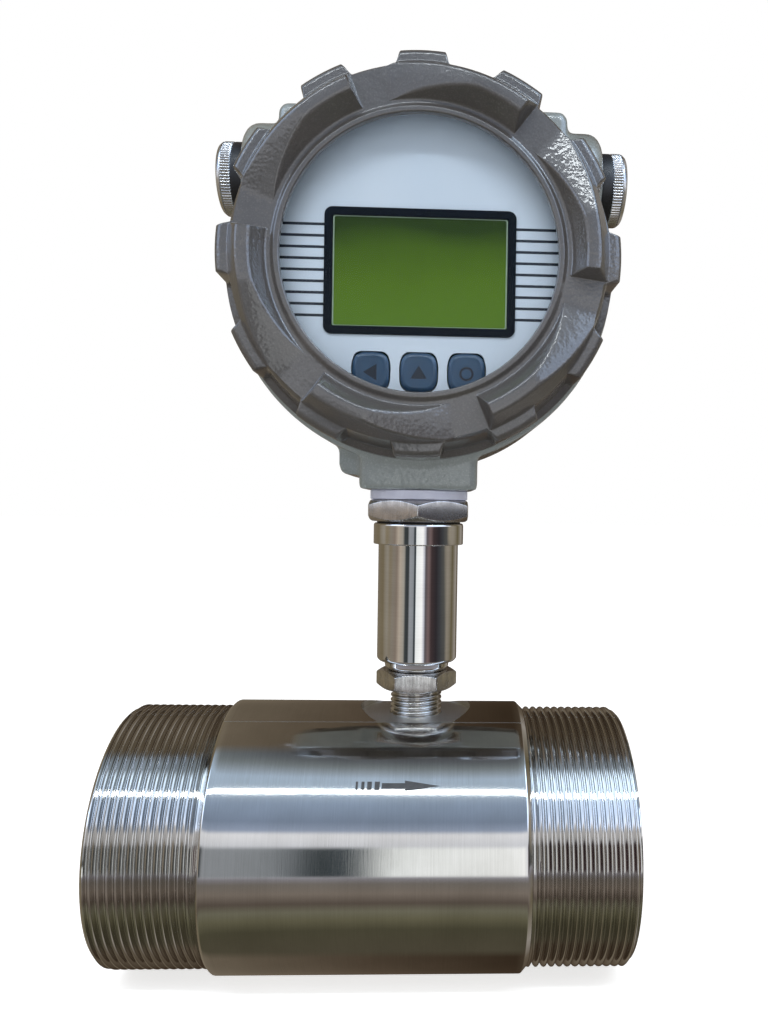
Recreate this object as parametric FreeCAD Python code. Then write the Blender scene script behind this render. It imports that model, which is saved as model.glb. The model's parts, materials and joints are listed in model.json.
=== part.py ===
import FreeCAD, Part
import math
import os

# Turbine flow meter, DN50, with a local display head.
# Millimetres. The origin is the centre of the inlet face, on the pipe's axis.
# +X is the way the liquid flows, +Z is up towards the head, and the display faces -Y.

V = FreeCAD.Vector
X, Y, Z = V(1, 0, 0), V(0, 1, 0), V(0, 0, 1)

# ---------------------------------------------------------------- driving dimensions

# Pipe body: turned stainless bar with a G2-1/2 pipe thread at each end
PIPE_LENGTH = 150.0
PIPE_THREAD_R = 37.592            # G2-1/2 major radius
PIPE_THREAD_LENGTH = 30.0
BARREL_R = 39.25
BARREL_CHAMFER = 1.5
BORE_R = 25.0                     # DN50
GUIDE_SEAT_R = 26.0               # wider bore at each end, which holds the flow guides
ROTOR_CHAMBER = (60.0, 114.0)     # from one guide shoulder to the other

# Stem: everything on the vertical axis that rises from the pipe
STEM_X = 87.0
SPOT_FACE_R, SPOT_FACE_Z = 16.9, 37.0
STUD_R = 7.9                      # M16 x 1.5
POCKET_FLOOR_Z = 27.2             # leaves 2.2 mm of wall over the bore
LOCK_NUT_AF, LOCK_NUT_Z = 21.6, (44.8, 50.5)
TUBE_R, TUBE_Z = 12.3, (50.5, 95.6)
TUBE_FOOT_R, TUBE_FOOT_HEIGHT = 9.9, 2.9    # the narrower foot that stands on the lock nut
COLLAR_R, COLLAR_Z = 13.85, 89.1
NIPPLE_AF, NIPPLE_HEX_Z = 30.0, (96.1, 102.8)
NIPPLE_THREAD_R = 10.0            # M20 x 1.5, up into the housing
NIPPLE_BORE_R = 7.0
NECK_GASKET_R, NECK_Z = 15.0, 105.6

# Rotor and its bearings
ROTOR_TIP_R = 24.4
ROTOR_HUB_R = 8.0
ROTOR_LENGTH = 16.0
ROTOR_BLADES = 8
BLADE_THICKNESS = 1.5
BLADE_LEAD = 150.0                # one turn of a blade's helix: about 45 degrees at the tip
SHAFT_R, BEARING_GAP = 1.5, 0.05
GUIDE_HUB_R, GUIDE_VANES, VANE_THICKNESS = 11.0, 6, 2.0
GUIDE_BACK = ROTOR_LENGTH / 2 + 1.2    # from the rotor's mid plane to each guide's hub
SNAP_RING = (8.0, 1.8, 1.4)       # its groove: distance from the face, width, depth

# Head: a round housing whose axis runs along Y, at this height over the pipe
HEAD_Z = 168.8
DRUM_R, DRUM_FRONT, DRUM_REAR = 56.0, -16.5, 22.0
SPIGOT_R, SPIGOT_LENGTH = 48.0, 9.0    # the threaded necks that the covers screw over
CAVITY_R = 44.0
PARTITION = (-7.0, -4.0)          # wall between display and terminal compartments
THREAD_GAP = 0.3                  # between threads drawn as plain cylinders
SHOULDER_HALF_WIDTH, SHOULDER_TOP = 43.4, 220.6
SHOULDER_Y = (-9.0, 20.0)
HUB_Z, HUB_Y, HUB_R, HUB_END, HUB_EDGE = 201.5, 4.0, 16.4, 54.4, 4.6
ENTRY_R = 10.2                    # M20 x 1.5 conduit entry
PLUG_HEAD_R, PLUG_HEAD_LENGTH, PLUG_RING_LENGTH = 11.0, 4.6, 3.4
PLUG_THREAD_LENGTH = 11.0
NECK_HALF_WIDTH, NECK_HALF_DEPTH = 17.4, 15.4
EARTH_BOSS = (-24.0, 110.0)       # its left side from the stem axis, and its underside

# Covers
COVER_R = 54.8                    # over the grip teeth and the skirt
COVER_MOUTH = -17.0               # open end of the front cover
RING_FACE = -34.5                 # front face of the ring round the window
WINDOW_R, LIP_R, LIP_HEIGHT = 37.4, 39.1, 0.8
TEETH, TOOTH_ANGLE = 12, 14.6
LOBES, LOBE_START, LOBE_FLAT, LOBE_RAMP = 6, -7.3, 20.0, 29.0
LOBE_HEIGHT = 5.5
LOBE_RADII = (41.1, 44.5, 48.0, 51.0)   # inner foot, crest from, crest to, outer foot
REAR_COVER_MOUTH, REAR_COVER_FACE = 22.5, 37.0
SEAL_LENGTH = 2.5                 # of a cover seal, from the drum into the cover
GLASS_R, GLASS_THICKNESS = 41.0, 4.0

# Display, seen through the window
PLATE_R, PLATE_Y, PLATE_THICKNESS = 43.0, -27.5, 1.2
BEZEL_SIZE, BEZEL_CENTRE = (52.9, 34.9), (0.0, -3.4)
LCD_VIEW = (48.3, 30.7)
KEY_WIDTH, KEY_HEIGHT, KEY_PITCH, KEY_DROP = 10.2, 9.0, 13.2, -30.2
KEY_CORNER, KEY_PROUD = 2.0, 0.6
KEY_TRAVEL = 0.8
BOARD_Y, BOARD_R = -21.0, 38.0
STANDOFF_CIRCLE_R = 33.0


# ---------------------------------------------------------------- shape helpers

def turned(profile, origin, along, outward):
    """A solid of revolution from (distance along the axis, radius) points."""
    points = [origin + along * a + outward * r for a, r in profile]
    face = Part.Face(Part.makePolygon(points + points[:1]))
    return face.revolve(origin, along, 360)


def turned_on_pipe(profile):
    """Turned about the flow axis; distances are X."""
    return turned(profile, V(0, 0, 0), X, Z)


def turned_on_stem(profile):
    """Turned about the stem's vertical axis; distances are Z."""
    return turned(profile, V(STEM_X, 0, 0), Z, X)


def turned_on_head(profile):
    """Turned about the head's axis; distances are Y, more negative towards the viewer."""
    return turned(profile, V(STEM_X, 0, HEAD_Z), Y, Z)


def ring_on_head(y0, y1, inner, outer):
    return turned_on_head([(y0, inner), (y1, inner), (y1, outer), (y0, outer)])


def disc_on_head(y0, y1, radius):
    return Part.makeCylinder(radius, y1 - y0, V(STEM_X, y0, HEAD_Z), Y)


def block(x, y, z):
    """A box from three (low, high) pairs, with x measured from the stem's axis."""
    return Part.makeBox(x[1] - x[0], y[1] - y[0], z[1] - z[0], V(STEM_X + x[0], y[0], z[0]))


def edges_along(solid, direction, wanted=lambda middle: True):
    """The straight edges parallel to a direction whose mid point is wanted."""
    found = []
    for edge in solid.Edges:
        if edge.Curve.TypeId != "Part::GeomLine":
            continue
        run = edge.Vertexes[-1].Point - edge.Vertexes[0].Point
        middle = (edge.Vertexes[-1].Point + edge.Vertexes[0].Point) * 0.5
        if run.cross(direction).Length < 1e-6 and wanted(middle):
            found.append(edge)
    return found


def hexagon(across_flats, z_range, corner_at=0.0):
    """A hexagonal prism on the stem's axis with its corners chamfered at both ends."""
    corner_r = across_flats / math.sqrt(3)
    low, high = z_range
    corners = [V(STEM_X + corner_r * math.cos(math.radians(corner_at + 60 * k)),
                 corner_r * math.sin(math.radians(corner_at + 60 * k)), low) for k in range(6)]
    prism = Part.Face(Part.makePolygon(corners + corners[:1])).extrude(Z * (high - low))
    flat_r = across_flats / 2 * 0.97
    rise = (corner_r - flat_r) * math.tan(math.radians(30))
    envelope = turned_on_stem([(low, 0), (low, flat_r), (low + rise, corner_r),
                               (high - rise, corner_r), (high, flat_r), (high, 0)])
    return prism.common(envelope)


def at_angle(angle, radius, y):
    """A point on the head, by its angle from +X towards +Z as the viewer sees the face."""
    a = math.radians(angle)
    return V(STEM_X + radius * math.cos(a), y, HEAD_Z + radius * math.sin(a))


def round_head(shape, angle):
    """A copy turned about the head's axis."""
    copy = shape.copy()
    copy.rotate(V(STEM_X, 0, HEAD_Z), -Y, angle)
    return copy


def section_at(angle, profile):
    """A closed wire of (radius, y) points standing on a radial plane of the head."""
    points = [at_angle(angle, r, y) for r, y in profile]
    return Part.makePolygon(points + points[:1])


def sector(profile, start, sweep):
    """A (radius, y) profile swept round the head's axis from one angle."""
    return Part.Face(section_at(start, profile)).revolve(V(STEM_X, 0, HEAD_Z), -Y, sweep)


def fused(first, *others):
    return first.multiFuse(list(others)).removeSplitter()


# ---------------------------------------------------------------- meter body and rotor

def pipe_body():
    """The turned bar: threads, barrel, stepped bore, ring grooves, spot-face and sensor pocket."""
    end, thread, barrel, c = PIPE_LENGTH, PIPE_THREAD_R, BARREL_R, BARREL_CHAMFER
    start, stop = PIPE_THREAD_LENGTH, PIPE_LENGTH - PIPE_THREAD_LENGTH
    shape = turned_on_pipe([
        (0, GUIDE_SEAT_R + 1), (0, thread), (start, thread),
        (start + 0.01, barrel - c), (start + c, barrel), (stop - c, barrel),
        (stop - 0.01, barrel - c), (stop, thread), (end, thread), (end, GUIDE_SEAT_R + 1),
        (end - 1, GUIDE_SEAT_R), (ROTOR_CHAMBER[1], GUIDE_SEAT_R),
        (ROTOR_CHAMBER[1], BORE_R), (ROTOR_CHAMBER[0], BORE_R),
        (ROTOR_CHAMBER[0], GUIDE_SEAT_R), (1, GUIDE_SEAT_R)])
    inset, width, depth = SNAP_RING
    for x in (inset, end - inset - width):
        groove = turned_on_pipe([(x, 20), (x + width, 20), (x + width, GUIDE_SEAT_R + depth),
                                 (x, GUIDE_SEAT_R + depth)])
        shape = shape.cut(groove)
    spot_face = Part.makeCylinder(SPOT_FACE_R, 10, V(STEM_X, 0, SPOT_FACE_Z), Z)
    pocket = Part.makeCylinder(STUD_R + 0.1, 20, V(STEM_X, 0, POCKET_FLOOR_Z), Z)
    return shape.cut(spot_face).cut(pocket)


def flow_guide(reach):
    """A straightener: a hub with a rounded nose, radial vanes and a bearing seat at its end.

    Like the other pieces of one side it is drawn for the inlet, and reach is the distance
    from the rotor's mid plane to the face of the pipe on that side.
    """
    nose, shoulder, back = STEM_X - reach + 14.0, ROTOR_CHAMBER[0], STEM_X - GUIDE_BACK
    nose_length = 15.0
    ogive = [(nose + nose_length * (1 - math.cos(math.radians(a))),
              GUIDE_HUB_R * math.sin(math.radians(a))) for a in range(0, 91, 15)]
    hub = turned_on_pipe(ogive + [(back, GUIDE_HUB_R - 1.5), (back, 0)])
    vane = Part.makeBox(shoulder - nose - 10.0, VANE_THICKNESS, GUIDE_SEAT_R,
                        V(nose + 10.0, -VANE_THICKNESS / 2, 0))
    vanes = []
    for k in range(GUIDE_VANES):
        one = vane.copy()
        one.rotate(V(0, 0, 0), X, 360.0 / GUIDE_VANES * k)
        vanes.append(one)
    seat_bore = Part.makeCylinder(GUIDE_SEAT_R - 0.05, shoulder, V(0, 0, 0), X)
    guide = fused(hub, *vanes).common(seat_bore.fuse(hub))
    return guide.cut(Part.makeCylinder(3.0, 9.0, V(back - 9.0, 0, 0), X))


def bearing():
    """A cup bush in the guide's hub: the shaft turns in it and thrusts on its floor."""
    back = STEM_X - GUIDE_BACK
    bore = SHAFT_R + BEARING_GAP
    return turned_on_pipe([(back - 8.9, 0), (back - 8.9, 2.95), (back, 2.95), (back, bore),
                           (back - 7.0, bore), (back - 7.0, 0)])


def spacer_sleeve(reach):
    """A thin sleeve between the snap ring and the guide's vanes."""
    start = STEM_X - reach + SNAP_RING[0] + SNAP_RING[1]
    stop = STEM_X - reach + 24.0
    return turned_on_pipe([(start, 24.2), (stop, 24.2), (stop, GUIDE_SEAT_R - 0.1),
                           (start, GUIDE_SEAT_R - 0.1)])


def retaining_ring(reach):
    """An internal snap ring, gapped at the bottom, that holds the guide against its shoulder."""
    x0 = STEM_X - reach + SNAP_RING[0] + 0.05
    thick = SNAP_RING[1] - 0.1
    outer = GUIDE_SEAT_R + SNAP_RING[2] - 0.1
    ring = turned_on_pipe([(x0, 23.2), (x0 + thick, 23.2), (x0 + thick, outer), (x0, outer)])
    ring = ring.cut(Part.makeBox(4, 9, 12, V(x0 - 1, -4.5, -30)))
    eyes = []
    for side in (-1, 1):
        eye = Part.makeCylinder(2.2, thick, V(x0, side * 6.4, -22.6), X)
        eyes.append(eye.cut(Part.makeCylinder(0.9, 4, V(x0 - 1, side * 6.4, -22.6), X)))
    return fused(ring, *eyes)


def for_outlet(shape):
    """The outlet side's copy of an inlet piece, mirrored about the rotor's mid plane."""
    return shape.mirror(V(STEM_X, 0, 0), X)


def rotor():
    """A hub with helical blades: each blade is lofted through twisted sections."""
    start = STEM_X - ROTOR_LENGTH / 2
    hub = turned_on_pipe([(start, SHAFT_R), (start, ROTOR_HUB_R - 1), (start + 1, ROTOR_HUB_R),
                          (start + ROTOR_LENGTH - 1, ROTOR_HUB_R),
                          (start + ROTOR_LENGTH, ROTOR_HUB_R - 1),
                          (start + ROTOR_LENGTH, SHAFT_R)])
    half = BLADE_THICKNESS / 2
    stations = 5
    wires = []
    for i in range(stations):
        x = start + 1 + (ROTOR_LENGTH - 2) * i / (stations - 1)
        corners = [V(x, -half, ROTOR_HUB_R - 2), V(x, half, ROTOR_HUB_R - 2),
                   V(x, half, ROTOR_TIP_R + 0.5), V(x, -half, ROTOR_TIP_R + 0.5)]
        wire = Part.makePolygon(corners + corners[:1])
        wire.rotate(V(0, 0, 0), X, 360.0 * (x - STEM_X) / BLADE_LEAD)
        wires.append(wire)
    blade = Part.makeLoft(wires, True, True)
    blades = []
    for k in range(ROTOR_BLADES):
        one = blade.copy()
        one.rotate(V(0, 0, 0), X, 360.0 / ROTOR_BLADES * k)
        blades.append(one)
    tips = Part.makeCylinder(ROTOR_TIP_R, ROTOR_LENGTH, V(start, 0, 0), X)
    shaft_hole = Part.makeCylinder(SHAFT_R, ROTOR_LENGTH, V(start, 0, 0), X)
    return fused(hub, *blades).common(tips).cut(shaft_hole)


def rotor_shaft():
    reach = GUIDE_BACK + 6.8
    return turned_on_pipe([(STEM_X - reach, 0), (STEM_X - reach, SHAFT_R - 0.3),
                           (STEM_X - reach + 0.3, SHAFT_R), (STEM_X + reach - 0.3, SHAFT_R),
                           (STEM_X + reach, SHAFT_R - 0.3), (STEM_X + reach, 0)])


# ---------------------------------------------------------------- stem

def pickup_stud():
    """The sensor's threaded shell: a blind tube."""
    foot, top = POCKET_FLOOR_Z + 0.2, TUBE_Z[0] + 11.0
    return turned_on_stem([
        (foot, 0), (foot, STUD_R - 1), (foot + 1, STUD_R), (top, STUD_R), (top, 5.6),
        (foot + 1.6, 5.6), (foot + 1.6, 0)])


def lock_nut():
    nut = hexagon(LOCK_NUT_AF, LOCK_NUT_Z, corner_at=0)
    return nut.cut(Part.makeCylinder(STUD_R, 20, V(STEM_X, 0, LOCK_NUT_Z[0] - 5), Z))


def amplifier_tube():
    """The polished sleeve that holds the amplifier, with a narrow foot and a collar."""
    low, high = TUBE_Z
    foot = low + TUBE_FOOT_HEIGHT
    thread = NIPPLE_THREAD_R + 0.9
    return turned_on_stem([
        (low, STUD_R), (low, TUBE_FOOT_R - 0.9), (low + 0.9, TUBE_FOOT_R), (foot, TUBE_FOOT_R),
        (foot, TUBE_R - 0.6), (foot + 0.6, TUBE_R), (COLLAR_Z, TUBE_R),
        (COLLAR_Z, COLLAR_R - 0.3), (COLLAR_Z + 0.3, COLLAR_R), (high - 0.8, COLLAR_R),
        (high, COLLAR_R - 0.8), (high, thread), (high - 8, thread), (high - 8, 10.2),
        (low + 12, 10.2), (low + 12, STUD_R)])


def tube_o_ring():
    low, high = TUBE_Z[1], NIPPLE_HEX_Z[0]
    return turned_on_stem([(low, 11.0), (high, 11.0), (high, 12.6), ((low + high) / 2, 12.9),
                           (low, 12.6)])


def hex_nipple():
    """The hollow union between the tube and the housing, with its hexagon's corner in front."""
    low, high = NIPPLE_HEX_Z
    body = hexagon(NIPPLE_AF, NIPPLE_HEX_Z, corner_at=30)
    lower = turned_on_stem([(low - 7.8, 0), (low - 7.8, 10.2), (low - 7.0, 10.8), (low, 10.8),
                            (low, 0)])
    upper = turned_on_stem([(high, 0), (high, NIPPLE_THREAD_R), (119.2, NIPPLE_THREAD_R),
                            (120.0, NIPPLE_THREAD_R - 0.8), (120.0, 0)])
    bore = Part.makeCylinder(NIPPLE_BORE_R, 60, V(STEM_X, 0, low - 20), Z)
    return fused(body, lower, upper).cut(bore)


def neck_gasket():
    low, high = NIPPLE_HEX_Z[1], NECK_Z
    return turned_on_stem([(low, 10.3), (high, 10.3), (high, NECK_GASKET_R - 0.3),
                           (high - 0.3, NECK_GASKET_R), (low + 0.3, NECK_GASKET_R),
                           (low, NECK_GASKET_R - 0.3)])


def pickup_lead():
    """The jacketed lead, on the stem's axis from the amplifier up into the housing."""
    return Part.makeCylinder(1.6, 50.0, V(STEM_X, 0, 88.0), Z)


# ---------------------------------------------------------------- head

def housing():
    """One casting: drum, two spigots, shoulders, conduit hubs, neck block and earth boss."""
    spigot_front, spigot_rear = DRUM_FRONT - SPIGOT_LENGTH, DRUM_REAR + SPIGOT_LENGTH
    drum = turned_on_head([
        (spigot_front, 0), (spigot_front, SPIGOT_R - 0.8), (spigot_front + 0.8, SPIGOT_R),
        (DRUM_FRONT, SPIGOT_R), (DRUM_FRONT, DRUM_R - 1), (DRUM_FRONT + 1, DRUM_R),
        (DRUM_REAR - 1, DRUM_R), (DRUM_REAR, DRUM_R - 1), (DRUM_REAR, SPIGOT_R),
        (spigot_rear - 0.8, SPIGOT_R), (spigot_rear, SPIGOT_R - 0.8), (spigot_rear, 0)])

    w = SHOULDER_HALF_WIDTH
    shoulder = block((-w, w), SHOULDER_Y, (HEAD_Z + 10, SHOULDER_TOP))
    shoulder = shoulder.makeFillet(3.0, edges_along(shoulder, Y, lambda m: m.z > SHOULDER_TOP - 1))
    shoulder = shoulder.makeFillet(2.0, edges_along(shoulder, Z))

    e, soft = HUB_END, HUB_EDGE
    hub_profile = [(-e, 0), (-e, HUB_R - soft)]
    hub_profile += [(-e + soft * (1 - math.cos(math.radians(a))),
                     HUB_R - soft + soft * math.sin(math.radians(a))) for a in range(15, 91, 15)]
    hub_profile += [(-x, r) for x, r in reversed(hub_profile)]
    hubs = turned(hub_profile, V(STEM_X, HUB_Y, HUB_Z), X, Z)

    n = NECK_HALF_WIDTH
    neck = block((-n, n), (-NECK_HALF_DEPTH, NECK_HALF_DEPTH), (NECK_Z, HEAD_Z - 30))
    neck = neck.makeFillet(2.4, edges_along(neck, Z))
    neck = neck.makeFillet(1.2, [edge for edge in neck.Edges
                                 if edge.BoundBox.ZMax < NECK_Z + 0.01])

    left, under = EARTH_BOSS
    boss = block((left, -10), (-7, DRUM_REAR), (under, HEAD_Z - 30))
    boss = boss.makeFillet(2.6, edges_along(boss, Y, lambda m: m.z < under + 1
                                            and m.x < STEM_X + left + 1))

    shape = fused(drum, shoulder, hubs, neck, boss)

    front_room = disc_on_head(spigot_front - 1, PARTITION[0], CAVITY_R)
    rear_room = disc_on_head(PARTITION[1], spigot_rear + 1, CAVITY_R)
    entries = Part.makeCylinder(ENTRY_R, 2 * e + 20, V(STEM_X - e - 10, HUB_Y, HUB_Z), X)
    neck_bore = Part.makeCylinder(NIPPLE_THREAD_R + THREAD_GAP, 40, V(STEM_X, 0, NECK_Z - 1), Z)
    earth_hole = Part.makeCylinder(1.65, 9, V(STEM_X + left + 3.6, DRUM_REAR - 8, under + 2.9), Y)
    shape = shape.cut(front_room).cut(rear_room)
    keep_partition = disc_on_head(PARTITION[0], PARTITION[1], CAVITY_R + 0.5)
    shape = shape.cut(entries.cut(keep_partition)).cut(neck_bore.cut(keep_partition))
    return shape.cut(earth_hole)


def front_cover():
    """The bezel cover: a ring with a drafted wall, twelve grip teeth and six ramped lobes."""
    inner = SPIGOT_R + THREAD_GAP
    mouth, face, seal = COVER_MOUTH, RING_FACE, DRUM_FRONT - SEAL_LENGTH
    lip = face - LIP_HEIGHT
    pocket = GLASS_R + 0.4
    body = turned_on_head([
        (mouth, 50.9), (mouth, COVER_R - 0.5), (mouth - 0.5, COVER_R), (-22.0, COVER_R),
        (-22.6, 52.6), (face + 1.4, 51.2), (face + 0.4, 50.8), (face, 50.2),
        (face, LIP_R + 0.7), (lip + 0.2, LIP_R), (lip, LIP_R - 0.3), (lip, WINDOW_R + 0.3),
        (lip + 0.3, WINDOW_R), (-33.3, WINDOW_R), (-33.3, pocket), (-28.6, pocket),
        (-28.6, CAVITY_R + 0.3), (-26.0, CAVITY_R + 0.3), (-26.0, inner), (seal, inner),
        (seal, 50.9)])

    foot, crest_from, crest_to, outer_foot = LOBE_RADII
    root = face + 1.5

    def lobe_profile(height):
        part = height / LOBE_HEIGHT
        return [(foot, root), (foot, face + 0.2), (foot + (crest_from - foot) * part, face - height),
                (outer_foot - (outer_foot - crest_to) * part, face - height),
                (outer_foot, face + 0.2), (outer_foot, root)]

    flat = sector(lobe_profile(LOBE_HEIGHT), LOBE_START, LOBE_FLAT)
    stations = 6
    ramp_start = LOBE_START + LOBE_FLAT
    heights = [LOBE_HEIGHT - (LOBE_HEIGHT + 0.1) * i / (stations - 1) for i in range(stations)]
    ramp = Part.makeLoft([section_at(ramp_start + LOBE_RAMP * i / (stations - 1), lobe_profile(h))
                          for i, h in enumerate(heights)], True, True)
    lobe = fused(flat, ramp)

    tooth = sector([(51.0, -21.0), (COVER_R, -21.0), (COVER_R, face + 1.2), (COVER_R - 1.2, face),
                    (49.5, face), (49.5, -22.0)], -TOOTH_ANGLE / 2, TOOTH_ANGLE)
    lobes = [round_head(lobe, 360.0 / LOBES * k) for k in range(LOBES)]
    teeth = [round_head(tooth, 360.0 / TEETH * k) for k in range(TEETH)]
    return fused(body, *(lobes + teeth))


def rear_cover():
    """The blind cover: the same toothed skirt closed by a shallow dome."""
    inner = SPIGOT_R + THREAD_GAP
    mouth, face, seal = REAR_COVER_MOUTH, REAR_COVER_FACE, DRUM_REAR + SEAL_LENGTH
    body = turned_on_head([
        (mouth, 50.9), (mouth, COVER_R - 0.5), (mouth + 0.5, COVER_R), (28.5, COVER_R),
        (29.1, 52.6), (face - 3, 51.6), (face - 1.2, 50.6), (face, 48.0), (face + 1.6, 36.0),
        (face + 2.4, 18.0), (face + 2.6, 0), (face - 2.0, 0), (face - 2.0, CAVITY_R),
        (32.2, CAVITY_R), (32.2, inner), (seal, inner), (seal, 50.9)])
    tooth = sector([(51.0, 27.5), (COVER_R, 27.5), (COVER_R, face - 3.4), (COVER_R - 1.4, face - 2),
                    (49.5, face - 1.4), (49.5, 29.5)], -TOOTH_ANGLE / 2, TOOTH_ANGLE)
    return fused(body, *[round_head(tooth, 360.0 / TEETH * k) for k in range(TEETH)])


def cover_o_ring(low, high):
    """A square-bodied seal at the root of a spigot, in the counterbore of its cover."""
    return turned_on_head([(low, 48.35), (high, 48.35), (high, 50.2), ((low + high) / 2, 50.6),
                           (low, 50.2)])


def conduit_plug(side):
    """A blanking plug: a knurled head with a rounded rim on an M20 thread."""
    start = HUB_END + PLUG_RING_LENGTH
    end = start + PLUG_HEAD_LENGTH
    r = PLUG_HEAD_R
    thread = ENTRY_R - THREAD_GAP
    profile = [(start - PLUG_RING_LENGTH - PLUG_THREAD_LENGTH, 0),
               (start - PLUG_RING_LENGTH - PLUG_THREAD_LENGTH, thread - 0.8),
               (start - PLUG_RING_LENGTH - PLUG_THREAD_LENGTH + 0.8, thread), (start, thread),
               (start, r - 0.3), (start + 0.3, r), (end - 1.6, r), (end - 0.9, r - 0.35),
               (end - 0.2, r - 1.2), (end, r - 2.0), (end, 0)]
    return turned(profile, V(STEM_X, HUB_Y, HUB_Z), X * side, Z)


def plug_ring(side):
    a, b = HUB_END, HUB_END + PLUG_RING_LENGTH
    return turned([(a, 10.0), (b, 10.0), (b, 10.6), ((a + b) / 2, 10.95), (a, 10.6)],
                  V(STEM_X, HUB_Y, HUB_Z), X * side, Z)


def earth_screw():
    """A pan-head screw with its washer on the rear face of the earth boss."""
    left, under = EARTH_BOSS
    centre = V(STEM_X + left + 3.6, DRUM_REAR, under + 2.9)
    return turned([(-6.5, 0), (-6.5, 1.6), (0, 1.6), (0, 3.0), (0.7, 3.0), (0.7, 2.7),
                   (2.2, 2.5), (2.8, 1.6), (2.8, 0)], centre, Y, Z)


# ---------------------------------------------------------------- display and electronics

def rounded_panel(width, height, centre, y0, y1, corner):
    """A flat panel with rounded corners, placed from the centre of the face."""
    x0, z0 = centre[0] - width / 2, HEAD_Z + centre[1] - height / 2
    panel = block((x0, x0 + width), (y0, y1), (z0, z0 + height))
    return panel.makeFillet(corner, edges_along(panel, Y))


def key_outline(grow, y0, y1, x):
    """A key's barrel outline: flat top and bottom, sides bowed outwards, corners rounded."""
    top, bow, half = KEY_HEIGHT / 2 + grow, KEY_WIDTH / 2 + grow, KEY_WIDTH / 2 * 0.74 + grow
    cx, cz = STEM_X + x, HEAD_Z + KEY_DROP
    corners = [V(cx - half, y0, cz + top), V(cx + half, y0, cz + top),
               V(cx + half, y0, cz - top), V(cx - half, y0, cz - top)]
    edges = [Part.LineSegment(corners[0], corners[1]).toShape(),
             Part.Arc(corners[1], V(cx + bow, y0, cz), corners[2]).toShape(),
             Part.LineSegment(corners[2], corners[3]).toShape(),
             Part.Arc(corners[3], V(cx - bow, y0, cz), corners[0]).toShape()]
    barrel = Part.Face(Part.Wire(edges)).extrude(Y * (y1 - y0))
    upright = [e for e in barrel.Edges if abs(e.BoundBox.YLength - (y1 - y0)) < 1e-3]
    return barrel.makeFillet(KEY_CORNER + grow, upright)


KEY_PLACES = {"key_left": -KEY_PITCH, "key_middle": 0.0, "key_right": KEY_PITCH}


def face_plate():
    """The display's front plate, with cut-outs for the bezel and keys and four pillars behind."""
    back = PLATE_Y + PLATE_THICKNESS
    plate = disc_on_head(PLATE_Y, back, PLATE_R)
    pillars = [Part.makeCylinder(2.5, BOARD_Y - back, at_angle(a, STANDOFF_CIRCLE_R, back), Y)
               for a in (45, 135, 225, 315)]
    shape = fused(plate, *pillars)
    shape = shape.cut(rounded_panel(BEZEL_SIZE[0] - 2.0, BEZEL_SIZE[1] - 2.0, BEZEL_CENTRE,
                                    PLATE_Y - 1, back + 1, 1.5))
    for x in KEY_PLACES.values():
        shape = shape.cut(key_outline(0.35, PLATE_Y - 1, back + 1, x))
    return shape


def lcd_bezel():
    """A thin frame standing on the plate, round the liquid-crystal panel."""
    outer = rounded_panel(BEZEL_SIZE[0], BEZEL_SIZE[1], BEZEL_CENTRE, PLATE_Y - 0.6, PLATE_Y, 2.2)
    view = rounded_panel(LCD_VIEW[0], LCD_VIEW[1], BEZEL_CENTRE, PLATE_Y - 2, PLATE_Y + 2, 0.8)
    return outer.cut(view)


def lcd_module():
    """The glass panel in the plate's cut-out and its carrier, which stands on the board."""
    w, h = LCD_VIEW[0] + 1.4, LCD_VIEW[1] + 1.4
    glass = rounded_panel(w, h, BEZEL_CENTRE, PLATE_Y, PLATE_Y + 1.6, 0.6)
    carrier = rounded_panel(w + 1.6, h - 2, BEZEL_CENTRE, PLATE_Y + 1.6, BOARD_Y, 0.6)
    return fused(glass, carrier)


def key(x):
    """A key cap with a collar behind the plate and a stem down to its switch."""
    cap = key_outline(0.0, PLATE_Y - KEY_PROUD, PLATE_Y + PLATE_THICKNESS + 0.7, x)
    stem = Part.makeCylinder(2.0, 2.6, V(STEM_X + x, PLATE_Y + PLATE_THICKNESS + 0.7,
                                         HEAD_Z + KEY_DROP), Y)
    return fused(cap, stem)


def key_switches():
    """Three tact switches on the board, one behind each key's stem."""
    z = HEAD_Z + KEY_DROP
    return [block((x - 3, x + 3), (BOARD_Y - 1.0, BOARD_Y), (z - 3, z + 3))
            for x in KEY_PLACES.values()]


def display_board():
    board = disc_on_head(BOARD_Y, BOARD_Y + 1.6, BOARD_R)
    for a in (45, 135, 225, 315):
        board = board.cut(Part.makeCylinder(1.7, 4, at_angle(a, STANDOFF_CIRCLE_R, BOARD_Y - 1), Y))
    return board


def board_standoffs():
    """Four pillars from the partition to the display board."""
    y0 = BOARD_Y + 1.6
    return [Part.makeCylinder(2.9, PARTITION[0] - y0, at_angle(a, STANDOFF_CIRCLE_R, y0), Y)
            for a in (45, 135, 225, 315)]


def terminal_board():
    return rounded_panel(56, 34, (0, -14.0), 5.0, 6.6, 2.0)


def terminal_pillars():
    """Four short pillars that hold the terminal board off the partition."""
    return [Part.makeCylinder(2.5, 5.0 - PARTITION[1], V(STEM_X + x, PARTITION[1], HEAD_Z + z), Y)
            for x in (-24, 24) for z in (-27, -1)]


def terminal_block():
    """A six-way screw terminal block with open wire mouths along its lower side."""
    body = block((-21, 21), (6.6, 18.0), (HEAD_Z - 20, HEAD_Z - 8))
    body = body.makeFillet(0.8, edges_along(body, X, lambda m: m.y > 17))
    for k in range(6):
        x = -17.5 + 7.0 * k
        mouth = block((x - 2.2, x + 2.2), (8.2, 12.8), (HEAD_Z - 21, HEAD_Z - 14))
        well = Part.makeCylinder(2.4, 6, V(STEM_X + x, 15.4, HEAD_Z - 12.6), Y)
        body = body.cut(mouth).cut(well)
    return body


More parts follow.
